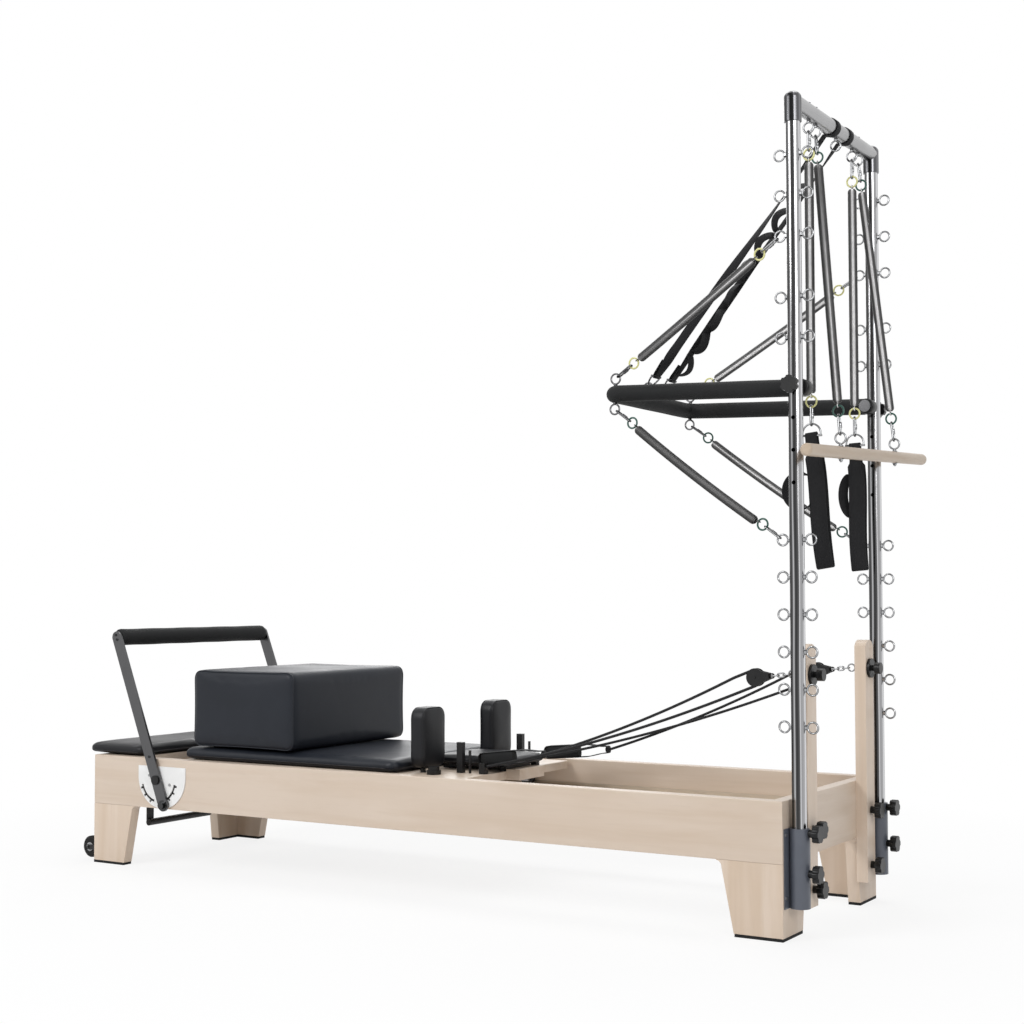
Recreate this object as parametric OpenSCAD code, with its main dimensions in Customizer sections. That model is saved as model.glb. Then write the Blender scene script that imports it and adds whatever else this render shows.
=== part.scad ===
// Pilates reformer with a half trapeze tower at its head end.
// X runs from the foot end to the head end, Y across, Z up. The origin lies on
// the floor, near the middle of the overall length.

/* [Wooden frame] */
// Length of the frame
frame_l = 2400; // [2350:10:2450]
// Width over the side rails
frame_w = 700; // [690:5:730]
// Height of the top edge of the rails
frame_h = 350; // [335:5:370]
// Height of one rail board
rail_h = 158; // [150:2:170]
// Thickness of every frame board
board_t = 35; // [30:1:38]
// Length of a leg where it meets the rail
leg_top_l = 167; // [155:1:180]
// Length of a leg at the floor
leg_foot_l = 134; // [120:1:145]
// Radius in the corner between leg and rail
leg_fillet = 16; // [10:1:24]
// Thickness of the rubber under each leg
foot_pad_t = 8; // [5:1:12]

/* [Foot end] */
// Length of the foot platform cushion
platform_l = 246; // [230:2:256]
// Overhang of the foot platform cushion past the frame
platform_out = 51; // [40:1:55]
// Thickness of the foot platform cushion
platform_pad_t = 42; // [35:1:48]
// Radius of a transport wheel
roller_r = 35; // [28:1:38]
// Length of a footbar arm between its end centres
arm_l = 569; // [520:1:580]
// Width of a footbar arm
arm_w = 38; // [32:1:42]
// Thickness of a footbar arm
arm_t = 8; // [6:1:10]
// Lean of the footbar towards the foot end, in degrees
arm_lean = 21.4; // [16:0.1:26]
// Outer diameter of the footbar padding
footbar_grip_d = 54; // [46:1:58]

/* [Carriage] */
// Length of the carriage board
carriage_l = 1080; // [1060:5:1100]
// Thickness of the carriage board
carriage_t = 24; // [20:1:26]
// Gap between carriage board and rail
carriage_gap = 15; // [12:1:20]
// Length of the carriage board's head end that its pad leaves free
head_zone = 245; // [242:1:260]
// Width of the carriage pad
seat_w = 590; // [540:5:600]
// Thickness of the carriage pad
seat_t = 43; // [36:1:48]
// Length of the sitting box along the frame
box_l = 410; // [380:5:430]
// Width of the sitting box
box_w = 608; // [540:4:620]
// Height of the sitting box
box_h = 245; // [220:5:280]
// Height of a shoulder rest
rest_h = 180; // [160:5:200]
// Width of a shoulder rest
rest_w = 120; // [100:2:124]
// Thickness of a shoulder rest
rest_t = 60; // [50:1:68]
// Length of the headrest
headrest_l = 270; // [230:5:280]
// Width of the headrest
headrest_w = 226; // [200:2:230]
// Thickness of the headrest
headrest_t = 34; // [28:1:40]
// Radius of a load wheel
wheel_r = 24; // [20:1:25]
// Diameter of the carriage ropes
rope_d = 8; // [7:0.5:9]

/* [Tower] */
// Height of the tower over all
tower_h = 2163; // [2150:1:2200]
// Distance between the two pole axes
pole_gap = 600; // [592:2:600]
// Diameter of a pole
pole_d = 38; // [34:1:42]
// Diameter of the crossbar
crossbar_d = 42; // [36:1:43]
// Outer diameter of a pole sleeve
sleeve_d = 52; // [50:1:54]
// Height of the lowest row of eyebolts
eye_low_z = 533; // [520:1:560]
// Spacing of the six lower rows
eye_low_step = 95; // [88:1:96]
// Height from the highest row to the top of the tower
eye_top_gap = 163; // [150:1:190]
// Spacing of neighbouring upper rows
eye_high_step = 105; // [98:1:108]
// Width of a wooden riser
riser_w = 64; // [50:1:66]
// Thickness of a wooden riser
riser_t = 32; // [26:1:36]
// Height of the top of a wooden riser
riser_top_z = 742; // [720:2:780]

/* [Push-through bar] */
// Distance from the pivots to the cross member
push_l = 560; // [540:5:580]
// Distance between the axes of its two arms
push_w = 500; // [490:2:506]
// Diameter over the foam
push_d = 46; // [40:1:48]
// Height of the pivots
push_z = 1402; // [1390:1:1420]
// Rise of the arms above level, in degrees
push_rise = 2.2; // [1:0.1:4]

/* [Hanging gear] */
// Length of a snap hook between its end arcs
hook_l = 54; // [50:1:60]
// Outer diameter of a tower spring
spring_d = 25; // [20:0.5:27]
// Wire diameter of a tower spring
spring_wire = 4.4; // [3.6:0.2:5]
// Curls of a short spring beside the push-through bar
short_curls = 7; // [5:1:7]
// Curls of a long hanging spring
long_curls = 9; // [7:1:9]
// Length of a hanging foot loop spring with its ends
loop_spring_l = 617; // [580:1:630]
// Width of the webbing
web_w = 44; // [36:1:45]
// Thickness of the webbing
web_t = 3.4; // [3:0.2:4]
// Length of a hanging foot loop
loop_l = 352; // [320:2:370]
// Length of the wooden roll-down bar
dowel_l = 930; // [880:5:940]
// Diameter of the wooden roll-down bar
dowel_d = 32; // [28:1:34]
// Distance of the roll-down bar in front of the poles
dowel_reach = 88; // [84:1:92]

/* [Hidden] */
$fn = 40;

// Gap between neighbours that move against each other or are soft
seat_gap = 0.3;
// Longest part of a boolean cut past the surface it goes through
cut = 1;

// Frame
frame_mid_x = -25;
foot_x = frame_mid_x - frame_l / 2;
head_x = frame_mid_x + frame_l / 2;
half_w = frame_w / 2;
inner_w = half_w - board_t;
rail_z = frame_h - rail_h;
leg_end_less = 13;

// Tracks, wheels and carriage
track_t = 4;
track_w = 42;
track_up = 16;
carriage_z = frame_h - 4 - carriage_t;
carriage_top = carriage_z + carriage_t;
axle_z = carriage_z - wheel_r - 8;
axle_d = 10;
track_z = axle_z - wheel_r - seat_gap - track_t;
wheel_w = 20;
wheel_y = inner_w - 28;
bracket_y = wheel_y - wheel_w / 2 - 15;
bracket_t = 8;
carriage_x = foot_x + 335;
foot_axle_x = carriage_x + 110;
head_axle_x = carriage_x + carriage_l - 140;
tongue_l = 48;
tongue_w = 144;
tongue_t = carriage_t + 7;
tongue_x = carriage_x + carriage_l;
tongue_top = carriage_z + tongue_t;

// Soft parts on the carriage
seat_l = carriage_l - head_zone;
seat_z = carriage_top + seat_gap;
seat_top = seat_z + seat_t;
box_x = carriage_x + 42;
box_z = seat_top + seat_gap;
rest_x = carriage_x + seat_l + 15;
rest_y = 190;
rest_z = carriage_top + 12;
headrest_x = carriage_x + seat_l + 6;
headrest_z = rest_z + 2;
prop_t = 20;

// Carriage springs between the spring bar and a rail under the carriage
spring_bar_x = foot_x + 215;
spring_bar_w = 32;
under_rail_x = carriage_x + 440;
under_rail_h = 36;
pull_spring_d = 24;
pull_spring_z = carriage_z - 18;
pull_spring_step = 80;

// Footbar
plate_t = 4;
plate_r = 100;
plate_x = foot_x + 300;
plate_mid_z = frame_h - 57;
plate_top_z = frame_h - 24;
pivot_x = foot_x + 286;
pivot_z = frame_h - 66.4;
slot_r = 70;
arm_below = 84;
arm_above = arm_l - arm_below;
arm_gap = 4;
arm_y = half_w + plate_t + arm_gap + arm_t / 2;
grip_x = pivot_x - arm_above * sin(arm_lean);
grip_z = pivot_z + arm_above * cos(arm_lean);
pin_x = pivot_x + arm_below * sin(arm_lean);
pin_z = pivot_z - arm_below * cos(arm_lean);
pivot_d = 14;

// Tower
pole_x = head_x + 26.5;
pole_y = pole_gap / 2;
pole_z = 82;
pole_wall = 2.5;
sleeve_z = 80;
sleeve_h = 200;
flange_t = 3;
flange_half = 43;
bar_z = tower_h - 26;
fitting_d = pole_d + 7;
fitting_h = 80;
fitting_dome = 17;
pole_top = tower_h - 44;
eye_r = 14;
wire_d = 5;
eye_reach = pole_d / 2 + 19;
eye_skip = eye_high_step + 54;
eye_high_z = tower_h - eye_top_gap - 3 * eye_high_step - eye_skip;
eye_rows = concat(
    [for (i = [0:5]) eye_low_z + i * eye_low_step],
    [eye_high_z, eye_high_z + eye_high_step],
    [for (i = [0:2]) eye_high_z + eye_high_step + eye_skip + i * eye_high_step]
);
riser_y = 222;
riser_z = 70;
disc_z = 663;
push_hole_step = 83;
push_bolt_d = 10;

// Places along the crossbar
loop_y = [-190, 140];
roll_y = [-140, 190];
strap_y = -22;
chain_strap_y = 80;
strap_w = 26;
spare_eye_y = 13;
bar_eye_z = bar_z - crossbar_d / 2 - 21;

// Push-through bar
push_y = push_w / 2;
push_bend = 32;
push_corner = push_bend * (1 - cos(45));
push_eye_x = push_l - push_corner;
push_eye_y = push_y - push_corner;
push_eye_up = push_d / 2 + 19;

// Links of one spring: eye, hook, ring, spring, ring, hook, eye
link_step = wire_d + seat_gap;
ring_r = 14.5;
hook_half = 7;
lean_gap = 0.4;
hook_at = eye_r - link_step - lean_gap;
ring_at = hook_at + hook_l - link_step + ring_r;
spring_at = ring_at + ring_r + wire_d / 2 + seat_gap;
spring_lead = 22;
dee_r = 25;
dee_leg = 6;

// Roll-down bar
dowel_x = pole_x + dowel_reach;
dowel_z = 1242;
dowel_roll = 2.5;
dowel_eye_y = 215;
dowel_eye_up = dowel_d / 2 + 21;

// Rope pulleys, hung from an eye on each riser
pulley_eye_x = head_x - 20;
pulley_tilt = 6;
link_wire = 4;
link_l = 20;
link_half = 5;
link_pitch = link_l - link_wire - seat_gap;
link_at = 10 - link_wire - seat_gap;
tail_at = link_at + 3 * link_pitch + link_wire + seat_gap;
sheave_at = tail_at + 45;
sheave_w = 12;
groove_r = 16;
pulley_x = pulley_eye_x - sheave_at * cos(pulley_tilt);
pulley_z = disc_z - sheave_at * sin(pulley_tilt);
rope_r = groove_r + rope_d / 2 + seat_gap;
run_angle = 21.5;
cleat_x = tongue_x - 30;
cleat_l = 20;
far_knot = [tongue_x + 220, 170, frame_h + 52];
near_knot = [tongue_x + 170, -130, frame_h + 60];
knot_l = 10;
far_cleat_y = 130;
near_cleat_y = -165;

maple = [0.87, 0.77, 0.63];
vinyl = [0.09, 0.10, 0.12];
chrome = [0.80, 0.81, 0.83];
slate = [0.20, 0.23, 0.28];
satin = [0.62, 0.63, 0.64];
black = [0.06, 0.06, 0.07];
white = [0.93, 0.93, 0.92];
yellow = [0.80, 0.75, 0.30];
green = [0.10, 0.35, 0.28];

// Helpers

function unit(v) = v / norm(v);
function smooth(t) = let (u = max(0, min(1, t))) u * u * (3 - 2 * u);
function mix(a, b, t) = a + (b - a) * t;

module both_sides() {
    children();
    mirror([0, 1, 0]) children();
}

module corners() {
    both_sides() {
        translate([foot_x, -half_w, 0]) children();
        translate([head_x, -half_w, 0]) mirror([1, 0, 0]) children();
    }
}

// Turns and moves children so that their Z axis points from a to b
module along(a, b) {
    z = unit(b - a);
    x = unit(cross([0, 1, 0], z));
    y = cross(z, x);
    multmatrix([
        [x[0], y[0], z[0], a[0]],
        [x[1], y[1], z[1], a[1]],
        [x[2], y[2], z[2], a[2]],
        [0, 0, 0, 1]
    ]) children();
}

module rod_y(d, l) {
    rotate([90, 0, 0]) cylinder(d = d, h = l, center = true);
}

// Flat shape drawn in X and Z, given the thickness t towards -Y
module plate_y(t) {
    rotate([90, 0, 0]) linear_extrude(t) children();
}

module stadium(l, half) {
    translate([half, 0]) circle(r = half);
    translate([l - half, 0]) circle(r = half);
    translate([half, -half]) square([l - 2 * half, 2 * half]);
}

// Outline of a closed strap with round ends
module strap_outline(l, half, t) {
    difference() {
        stadium(l, half);
        translate([t, 0]) stadium(l - 2 * t, half - t);
    }
}

// Wire ring in the XZ plane
module ring_xz(r, d) {
    rotate([90, 0, 0]) rotate_extrude() translate([r, 0]) circle(d = d);
}

// Closed wire loop in the YZ plane between the end arcs at z = 0 and z = l
module wire_loop(l, half, d) {
    rotate([90, 0, 90]) {
        translate([0, half]) rotate([0, 0, 180])
            rotate_extrude(angle = 180) translate([half, 0]) circle(d = d);
        translate([0, l - half])
            rotate_extrude(angle = 180) translate([half, 0]) circle(d = d);
        for (s = [-1, 1])
            translate([s * half, half, 0]) rotate([-90, 0, 0])
                cylinder(d = d, h = l - 2 * half);
    }
}

// Wire loop with a locking sleeve on one side
module snap_hook() {
    wire_loop(hook_l, hook_half, wire_d);
    translate([0, hook_half, hook_l * 0.36]) cylinder(d = wire_d + 3, h = hook_l * 0.28);
}

// Eyebolt with its shank along +X from x = 0 and its ring centred on x = reach
module eyebolt(reach) {
    translate([reach, 0, 0]) ring_xz(eye_r, wire_d);
    rotate([0, 90, 0]) cylinder(d = wire_d + 1, h = reach - eye_r);
    rotate([0, 90, 0]) cylinder(d = 13, h = reach - eye_r, $fn = 6);
}

// Ring with a straight bar along X below it, its top arc centred on z = 0
module dee_ring() {
    rotate([90, 0, 0]) rotate_extrude(angle = 180) translate([dee_r, 0]) circle(d = wire_d);
    for (s = [-1, 1])
        translate([s * dee_r, 0, -dee_leg]) cylinder(d = wire_d, h = dee_leg);
    translate([-dee_r - wire_d / 2 - 1, 0, -dee_leg]) rotate([0, 90, 0])
        cylinder(d = wire_d + 1, h = 2 * dee_r + wire_d + 2);
}

// Knob with six lobes, its neck from z = 0 up
module star_knob() {
    cylinder(d = 20, h = 16);
    translate([0, 0, 15]) difference() {
        cylinder(d = 45, h = 18);
        for (a = [0:60:300])
            rotate(a) translate([27, 0, -cut]) cylinder(d = 16, h = 18 + 2 * cut);
    }
}

// Rounded rectangle of 24 points whose sides are drawn in by q
function rounded(w, d, r, q) = [
    for (c = [0:3])
        let (
            sx = (c == 0 || c == 3) ? 1 : -1,
            sy = c < 2 ? 1 : -1,
            middle = [[0, d / 2 - q], [q - w / 2, 0], [0, q - d / 2], [w / 2 - q, 0]][c]
        )
        each concat(
            [for (k = [0:4]) [
                sx * (w / 2 - r) + r * cos(c * 90 + k * 22.5),
                sy * (d / 2 - r) + r * sin(c * 90 + k * 22.5)
            ]],
            [middle]
        )
];

// Cushion standing on z = 0: rolled edges, drawn-in sides and a crowned top
module cushion(w, d, h, r, edge, crown, q) {
    levels = [
        [0, edge * 0.8],
        [edge * 0.35, edge * 0.2],
        [edge, 0],
        [h - crown - edge, 0],
        [h - crown - edge * 0.35, edge * 0.22],
        [h - crown * 0.9, edge * 0.9],
        [h - crown * 0.3, min(w, d) * 0.2]
    ];
    n = 24;
    m = len(levels);
    points = concat(
        [for (l = levels) for (p = rounded(w - 2 * l[1], d - 2 * l[1], max(r - l[1], 2), q))
            [p[0], p[1], l[0]]],
        [[0, 0, 0], [0, 0, h]]
    );
    sides = [for (j = [0:m - 2]) for (i = [0:n - 1]) each [
        [j * n + i, (j + 1) * n + i, j * n + (i + 1) % n],
        [j * n + (i + 1) % n, (j + 1) * n + i, (j + 1) * n + (i + 1) % n]
    ]];
    bottom = [for (i = [0:n - 1]) [m * n, i, (i + 1) % n]];
    top = [for (i = [0:n - 1]) [m * n + 1, (m - 1) * n + (i + 1) % n, (m - 1) * n + i]];
    polyhedron(concat(points), concat(sides, bottom, top));
}

// Tube along the points p, with its rings square to the path
module tube(p, d, sides, ref) {
    n = len(p);
    function ahead(i) = unit(p[min(i + 1, n - 1)] - p[max(i - 1, 0)]);
    function start(i) = norm(ref) > 0 ? ref : norm([p[i][0], p[i][1]]) > 0.01 ? [p[i][0], p[i][1], 0] : [1, 0, 0];
    function across(i) = unit(start(i) - (start(i) * ahead(i)) * ahead(i));
    rings = [for (i = [0:n - 1]) for (k = [0:sides - 1])
        let (a = k * 360 / sides)
        p[i] + d / 2 * (across(i) * cos(a) + cross(ahead(i), across(i)) * sin(a))];
    skin = [for (i = [0:n - 2]) for (k = [0:sides - 1]) each [
        [i * sides + k, (i + 1) * sides + k, i * sides + (k + 1) % sides],
        [i * sides + (k + 1) % sides, (i + 1) * sides + k, (i + 1) * sides + (k + 1) % sides]
    ]];
    ends = [
        [for (k = [0:sides - 1]) k],
        [for (k = [sides - 1:-1:0]) (n - 1) * sides + k]
    ];
    polyhedron(rings, concat(skin, ends));
}

// Points of a coil along Z: straight ends on the axis and curls between them
function coil_points(l, curls) =
    let (
        r = (spring_d - spring_wire) / 2,
        n = curls * 8,
        run = l - 2 * spring_lead
    )
    concat(
        [[0, 0, 0], [0, 0, spring_wire]],
        [for (i = [0:n])
            let (wide = r * smooth((i + 1) / 8) * smooth((n - i + 1) / 8))
            [wide * cos(i * 45), wide * sin(i * 45), spring_lead + run * i / n]],
        [[0, 0, l - spring_wire], [0, 0, l]]
    );

// Least distance between the surfaces of neighbouring curls
function coil_gap(p) = min([for (i = [2:len(p) - 12]) for (k = [6:9]) norm(p[i + k] - p[i])]) - spring_wire;

module coil(l, curls) {
    p = coil_points(l, curls);
    echo(coil_length = l, least_gap = coil_gap(p));
    tube(p, spring_wire, 6, [0, 0, 0]);
}

module hooks_and_rings(a, b, hook_a, hook_b, ring_a, ring_b) {
    if (hook_a) along(a, b) translate([0, 0, hook_at]) snap_hook();
    if (hook_b) along(b, a) translate([0, 0, hook_at]) snap_hook();
    if (ring_a) along(a, b) translate([0, 0, ring_at]) ring_xz(ring_r, wire_d);
    if (ring_b) along(b, a) translate([0, 0, ring_at]) ring_xz(ring_r, wire_d);
}

module spring_between(a, b, curls) {
    along(a, b) translate([0, 0, spring_at]) coil(norm(b - a) - 2 * spring_at, curls);
}

// Wooden frame

module side_rails() {
    color(maple) both_sides()
        translate([foot_x, inner_w, rail_z]) cube([frame_l, board_t, rail_h]);
}

module end_boards() {
    color(maple)
        for (x = [foot_x, head_x - board_t])
            translate([x, -inner_w, rail_z]) cube([board_t, 2 * inner_w, rail_h]);
}

module leg_outline(top, foot) {
    h = rail_z - foot_pad_t;
    low = h - leg_fillet - 1.5;
    difference() {
        polygon([[0, 0], [foot, 0], [top, low], [top + leg_fillet, h], [0, h]]);
        translate([top + leg_fillet, low]) circle(r = leg_fillet);
    }
}

// Leg at the near foot corner, made of a side board and an end board
module leg() {
    translate([0, board_t, foot_pad_t]) rotate([90, 0, 0])
        linear_extrude(board_t) leg_outline(leg_top_l, leg_foot_l);
    translate([0, 0, foot_pad_t]) rotate([90, 0, 90])
        linear_extrude(board_t) leg_outline(leg_top_l - leg_end_less, leg_foot_l);
}

module legs() {
    color(maple) corners() leg();
}

module foot_pads() {
    color(black) corners() {
        cube([leg_foot_l - 2, board_t, foot_pad_t]);
        cube([board_t, leg_foot_l - 2, foot_pad_t]);
    }
}

// Flat running strip of the load wheels and the guide strip above it, on each side
module tracks() {
    l = frame_l - 2 * board_t;
    color(satin) both_sides() translate([foot_x + board_t, 0, track_z]) {
        translate([0, inner_w - track_w, 0]) cube([l, track_w, track_t]);
        translate([0, inner_w - track_t, track_t + seat_gap])
            cube([l, track_t, track_up - track_t - seat_gap]);
    }
}

// Grab handle under the foot end and the forks of the transport wheels
module lift_handle() {
    x = foot_x + board_t;
    color(black) {
        translate([x + 13, 0, 108]) rod_y(22, 300);
        for (s = [-1, 1])
            translate([x, s * 132 - 15, 104]) cube([5, 30, 126]);
    }
    color(satin) both_sides() translate([foot_x, -half_w + 30, roller_r + 9]) {
        for (s = [-1, 1])
            translate([-roller_r - 9, s * 17 - 1.5, -8]) cube([roller_r + 9, 3, 16]);
        translate([-3, -18.5, -14]) cube([3, 37, 44]);
        translate([-roller_r - 3, 0, 0]) rod_y(8, 46);
    }
}

module transport_wheels() {
    color(black) both_sides()
        translate([foot_x - roller_r - 3, -half_w + 30, roller_r + 9]) rotate([90, 0, 0])
            rotate_extrude() polygon([
                [4.3, -13], [14, -13], [14, -11], [roller_r - 6, -11], [roller_r, -5],
                [roller_r, 5], [roller_r - 6, 11], [14, 11], [14, 13], [4.3, 13]
            ]);
}

module foot_platform() {
    l = platform_l - platform_out - board_t - 4;
    color(maple)
        translate([foot_x + board_t, -inner_w, frame_h - 20]) cube([l, 2 * inner_w, 20]);
}

module foot_platform_pad() {
    color(vinyl)
        translate([foot_x - platform_out + platform_l / 2, 0, frame_h + seat_gap])
            cushion(platform_l, 2 * inner_w + 30, platform_pad_t, 30, 12, 3, 2);
}

// Foot end

module slot_outline() {
    difference() {
        intersection() {
            union() {
                circle(r = plate_r);
                translate([-plate_r, 0]) square([2 * plate_r, plate_r]);
            }
            translate([-plate_r - cut, -plate_r - cut])
                square([2 * plate_r + 2 * cut, plate_r + cut + plate_top_z - plate_mid_z]);
        }
        translate([pivot_x - plate_x, pivot_z - plate_mid_z]) {
            slot_arc(194, 256);
            slot_arc(300, 350);
            for (a = [202, 222, 244, 308, 328, 346])
                rotate(a) translate([slot_r, -3.5]) square([11, 7]);
        }
    }
}

module slot_arc(from, to) {
    steps = 10;
    polygon(concat(
        [for (i = [0:steps]) let (a = mix(from, to, i / steps)) (slot_r + 4) * [cos(a), sin(a)]],
        [for (i = [steps:-1:0]) let (a = mix(from, to, i / steps)) (slot_r - 4) * [cos(a), sin(a)]]
    ));
}

module slot_plates() {
    color(white) both_sides()
        translate([plate_x, -half_w, plate_mid_z]) plate_y(plate_t) slot_outline();
}

module screw_head(d) {
    difference() {
        cylinder(d = d, h = 2);
        translate([0, 0, 1]) cylinder(d = d * 0.45, h = 2, $fn = 6);
    }
}

module frame_screws() {
    color(satin) both_sides() {
        for (p = [[plate_x - 52, frame_h - 54], [plate_x + 35, frame_h - 80]])
            translate([p[0], -half_w - plate_t, p[1]]) rotate([90, 0, 0]) screw_head(9);
        for (z = [sleeve_z + 27, sleeve_z + 185], s = [-1, 1])
            translate([head_x + flange_t, s * 35 - pole_y, z]) rotate([0, 90, 0]) screw_head(9);
    }
}

module spring_bar() {
    half = inner_w - track_t;
    color(satin) translate([spring_bar_x, -half, pull_spring_z - 16])
        difference() {
            cube([spring_bar_w, 2 * half, 30]);
            translate([4, -cut, -cut]) cube([spring_bar_w - 8, 2 * half + 2 * cut, 30 + cut - 4]);
        }
    color(black) both_sides()
        translate([carriage_x - 24 - seat_gap, inner_w - 24, carriage_z]) cube([24, 24, carriage_t]);
}

module carriage_springs() {
    l = under_rail_x - spring_bar_x - spring_bar_w - 2 * seat_gap;
    color(satin)
        for (i = [-2:2])
            translate([spring_bar_x + spring_bar_w + seat_gap, i * pull_spring_step, pull_spring_z])
                rotate([0, 90, 0]) {
                    cylinder(d = 8, h = l);
                    translate([0, 0, 24]) cylinder(d = pull_spring_d, h = l - 48);
                }
}

module footbar_arms() {
    color(satin) both_sides()
        translate([pin_x, -arm_y + arm_t / 2, pin_z]) plate_y(arm_t)
            rotate(90 + arm_lean) difference() {
                translate([-arm_w / 2, 0]) stadium(arm_l + arm_w, arm_w / 2);
                translate([arm_below, 0]) circle(d = pivot_d + 2 * seat_gap);
            }
}

module footbar_grip() {
    inside = arm_y - arm_t / 2;
    color(black) translate([grip_x, 0, grip_z]) rod_y(footbar_grip_d, 2 * inside);
}

// Bolts of the footbar: one head at the pin, two at the grip, one at mid length
module footbar_pins() {
    out = arm_y + arm_t / 2;
    color(chrome) both_sides() {
        translate([pin_x, -out, pin_z]) rotate([90, 0, 0]) {
            cylinder(d = 33, h = 4);
            cylinder(d = 22, h = 11);
            translate([0, 0, -arm_t - arm_gap + seat_gap]) cylinder(d = 12, h = arm_gap - seat_gap);
        }
        for (d = [arm_above - 8, arm_above + 8, 78])
            translate([pivot_x - d * sin(arm_lean), -out, pivot_z + d * cos(arm_lean)])
                rotate([90, 0, 0]) screw_head(9);
    }
}

// Pivot bolts of the footbar, fixed in the slot plates
module pivot_bolts() {
    out = half_w + plate_t;
    both_sides() translate([pivot_x, -out, pivot_z]) rotate([90, 0, 0]) {
        cylinder(d = 28, h = arm_gap - seat_gap);
        cylinder(d = pivot_d, h = arm_gap + arm_t + 4);
        translate([0, 0, arm_gap + arm_t + seat_gap]) cylinder(d = 30, h = 5);
    }
}

// Carriage

module carriage_board() {
    w = 2 * (inner_w - carriage_gap);
    color(maple) {
        translate([carriage_x, -w / 2, carriage_z]) cube([carriage_l, w, carriage_t]);
        translate([tongue_x, -tongue_w / 2, carriage_z]) cube([tongue_l, tongue_w, tongue_t]);
        translate([under_rail_x, -210, carriage_z - under_rail_h]) cube([24, 420, under_rail_h]);
    }
}

module carriage_pad() {
    color(vinyl) translate([carriage_x + seat_l / 2, 0, seat_z])
        cushion(seat_l, seat_w, seat_t, 34, 13, 2, 3);
}

module shoulder_rests() {
    color(vinyl) both_sides()
        translate([rest_x + rest_t, -rest_y, rest_z + rest_h / 2]) rotate([0, -90, 0])
            cushion(rest_h, rest_w, rest_t, 30, 12, 5, 1.5);
}

// Posts and clamp knobs of the shoulder rests and the two props of the headrest
module rest_posts() {
    color(black) {
        both_sides() for (y = [-26, 26])
            translate([rest_x + rest_t / 2, y - rest_y, carriage_top])
                cylinder(d = 16, h = rest_z - carriage_top - seat_gap);
        both_sides() translate([rest_x + rest_t + 30, -247, carriage_top]) {
            cylinder(d = 42, h = 12);
            cylinder(d = 34, h = 22);
        }
        for (x = [headrest_x + 14, headrest_x + headrest_l - 32 - prop_t])
            translate([x, -70, carriage_top]) cube([prop_t, 140, headrest_z - carriage_top - seat_gap]);
    }
}

module headrest() {
    color(vinyl) translate([headrest_x + headrest_l / 2, 0, headrest_z])
        cushion(headrest_l, headrest_w, headrest_t, 34, 11, 3, 2);
}

module wheel_axles() {
    reach = wheel_y + wheel_w / 2 + 2 - bracket_y;
    color(satin) both_sides()
        for (x = [foot_axle_x, head_axle_x]) {
            translate([x - 16, -bracket_y - bracket_t, axle_z - 12])
                cube([32, bracket_t, carriage_z - axle_z + 12]);
            translate([x, -bracket_y, axle_z]) rotate([90, 0, 0]) cylinder(d = axle_d, h = reach);
        }
}

module load_wheels(x) {
    color(black) both_sides() translate([x, -wheel_y, axle_z]) difference() {
        rod_y(2 * wheel_r, wheel_w);
        rod_y(axle_d + 2 * seat_gap, wheel_w + 2 * cut);
    }
}

module load_wheels_foot() {
    load_wheels(foot_axle_x);
}

module load_wheels_head() {
    load_wheels(head_axle_x);
}

module rope_cleats() {
    color(black) {
        for (y = [near_cleat_y, far_cleat_y])
            translate([cleat_x, y - 10, carriage_top]) cube([cleat_l, 20, 31]);
        both_sides() {
            translate([rest_x + rest_t + 64, -178, carriage_top]) cube([20, 16, 90]);
            translate([rest_x + rest_t + 106, -170, carriage_top]) cylinder(d = 8, h = 68);
        }
    }
}

module sitting_box() {
    color(vinyl) translate([box_x + box_l / 2, 0, box_z])
        cushion(box_l, box_w, box_h, 28, 20, 4, 1.5);
}

// Ropes, handles and pulleys

function on_sheave(y, a, out) = [
    pulley_x + rope_r * cos(a) - out * cos(run_angle),
    y,
    pulley_z + rope_r * sin(a) - out * sin(run_angle)
];

function rope_route(y, knot, cleat_y) =
    let (
        up = 90 + run_angle,
        upper = on_sheave(y, up, 60),
        lower = on_sheave(y, up - 180, 60),
        start = [cleat_x + cleat_l + seat_gap, cleat_y, tongue_top + 16]
    )
    concat(
        [for (i = [0:12]) mix(knot, upper, i / 12)],
        [for (i = [0:12]) on_sheave(y, up - i * 15, 0)],
        [for (i = [0:14]) mix(lower, start + [24, 0, 4], i / 14)],
        [start + [rope_d, 0, 0], start]
    );

module rope_near() {
    color(black) tube(rope_route(-riser_y, near_knot, near_cleat_y), rope_d, 10, [0, 1, 0]);
}

module rope_far() {
    color(black) tube(rope_route(riser_y, far_knot, far_cleat_y), rope_d, 10, [0, 1, 0]);
}

// Strap handle hanging from the knot of its rope back over the carriage
module handle(knot, lean) {
    strap_l = 215;
    back = rope_d / 2 * sin(run_angle + lean) + seat_gap;
    translate(knot) rotate([0, lean, 0]) {
        rotate([0, 90, 0]) translate([0, 0, -knot_l - back]) cylinder(d = 17, h = knot_l);
        translate([-knot_l - back - seat_gap - strap_l, 13, 0]) plate_y(26)
            strap_outline(strap_l, 13, 4);
    }
}

module handles() {
    color(black) {
        handle(far_knot, -5);
        handle(near_knot, -7);
    }
}

// Places children along the line from a riser eye down to its pulley
module pulley_line() {
    both_sides() translate([pulley_eye_x, -riser_y, disc_z]) rotate([0, -pulley_tilt, 0])
        mirror([1, 0, 0]) children();
}

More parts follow.
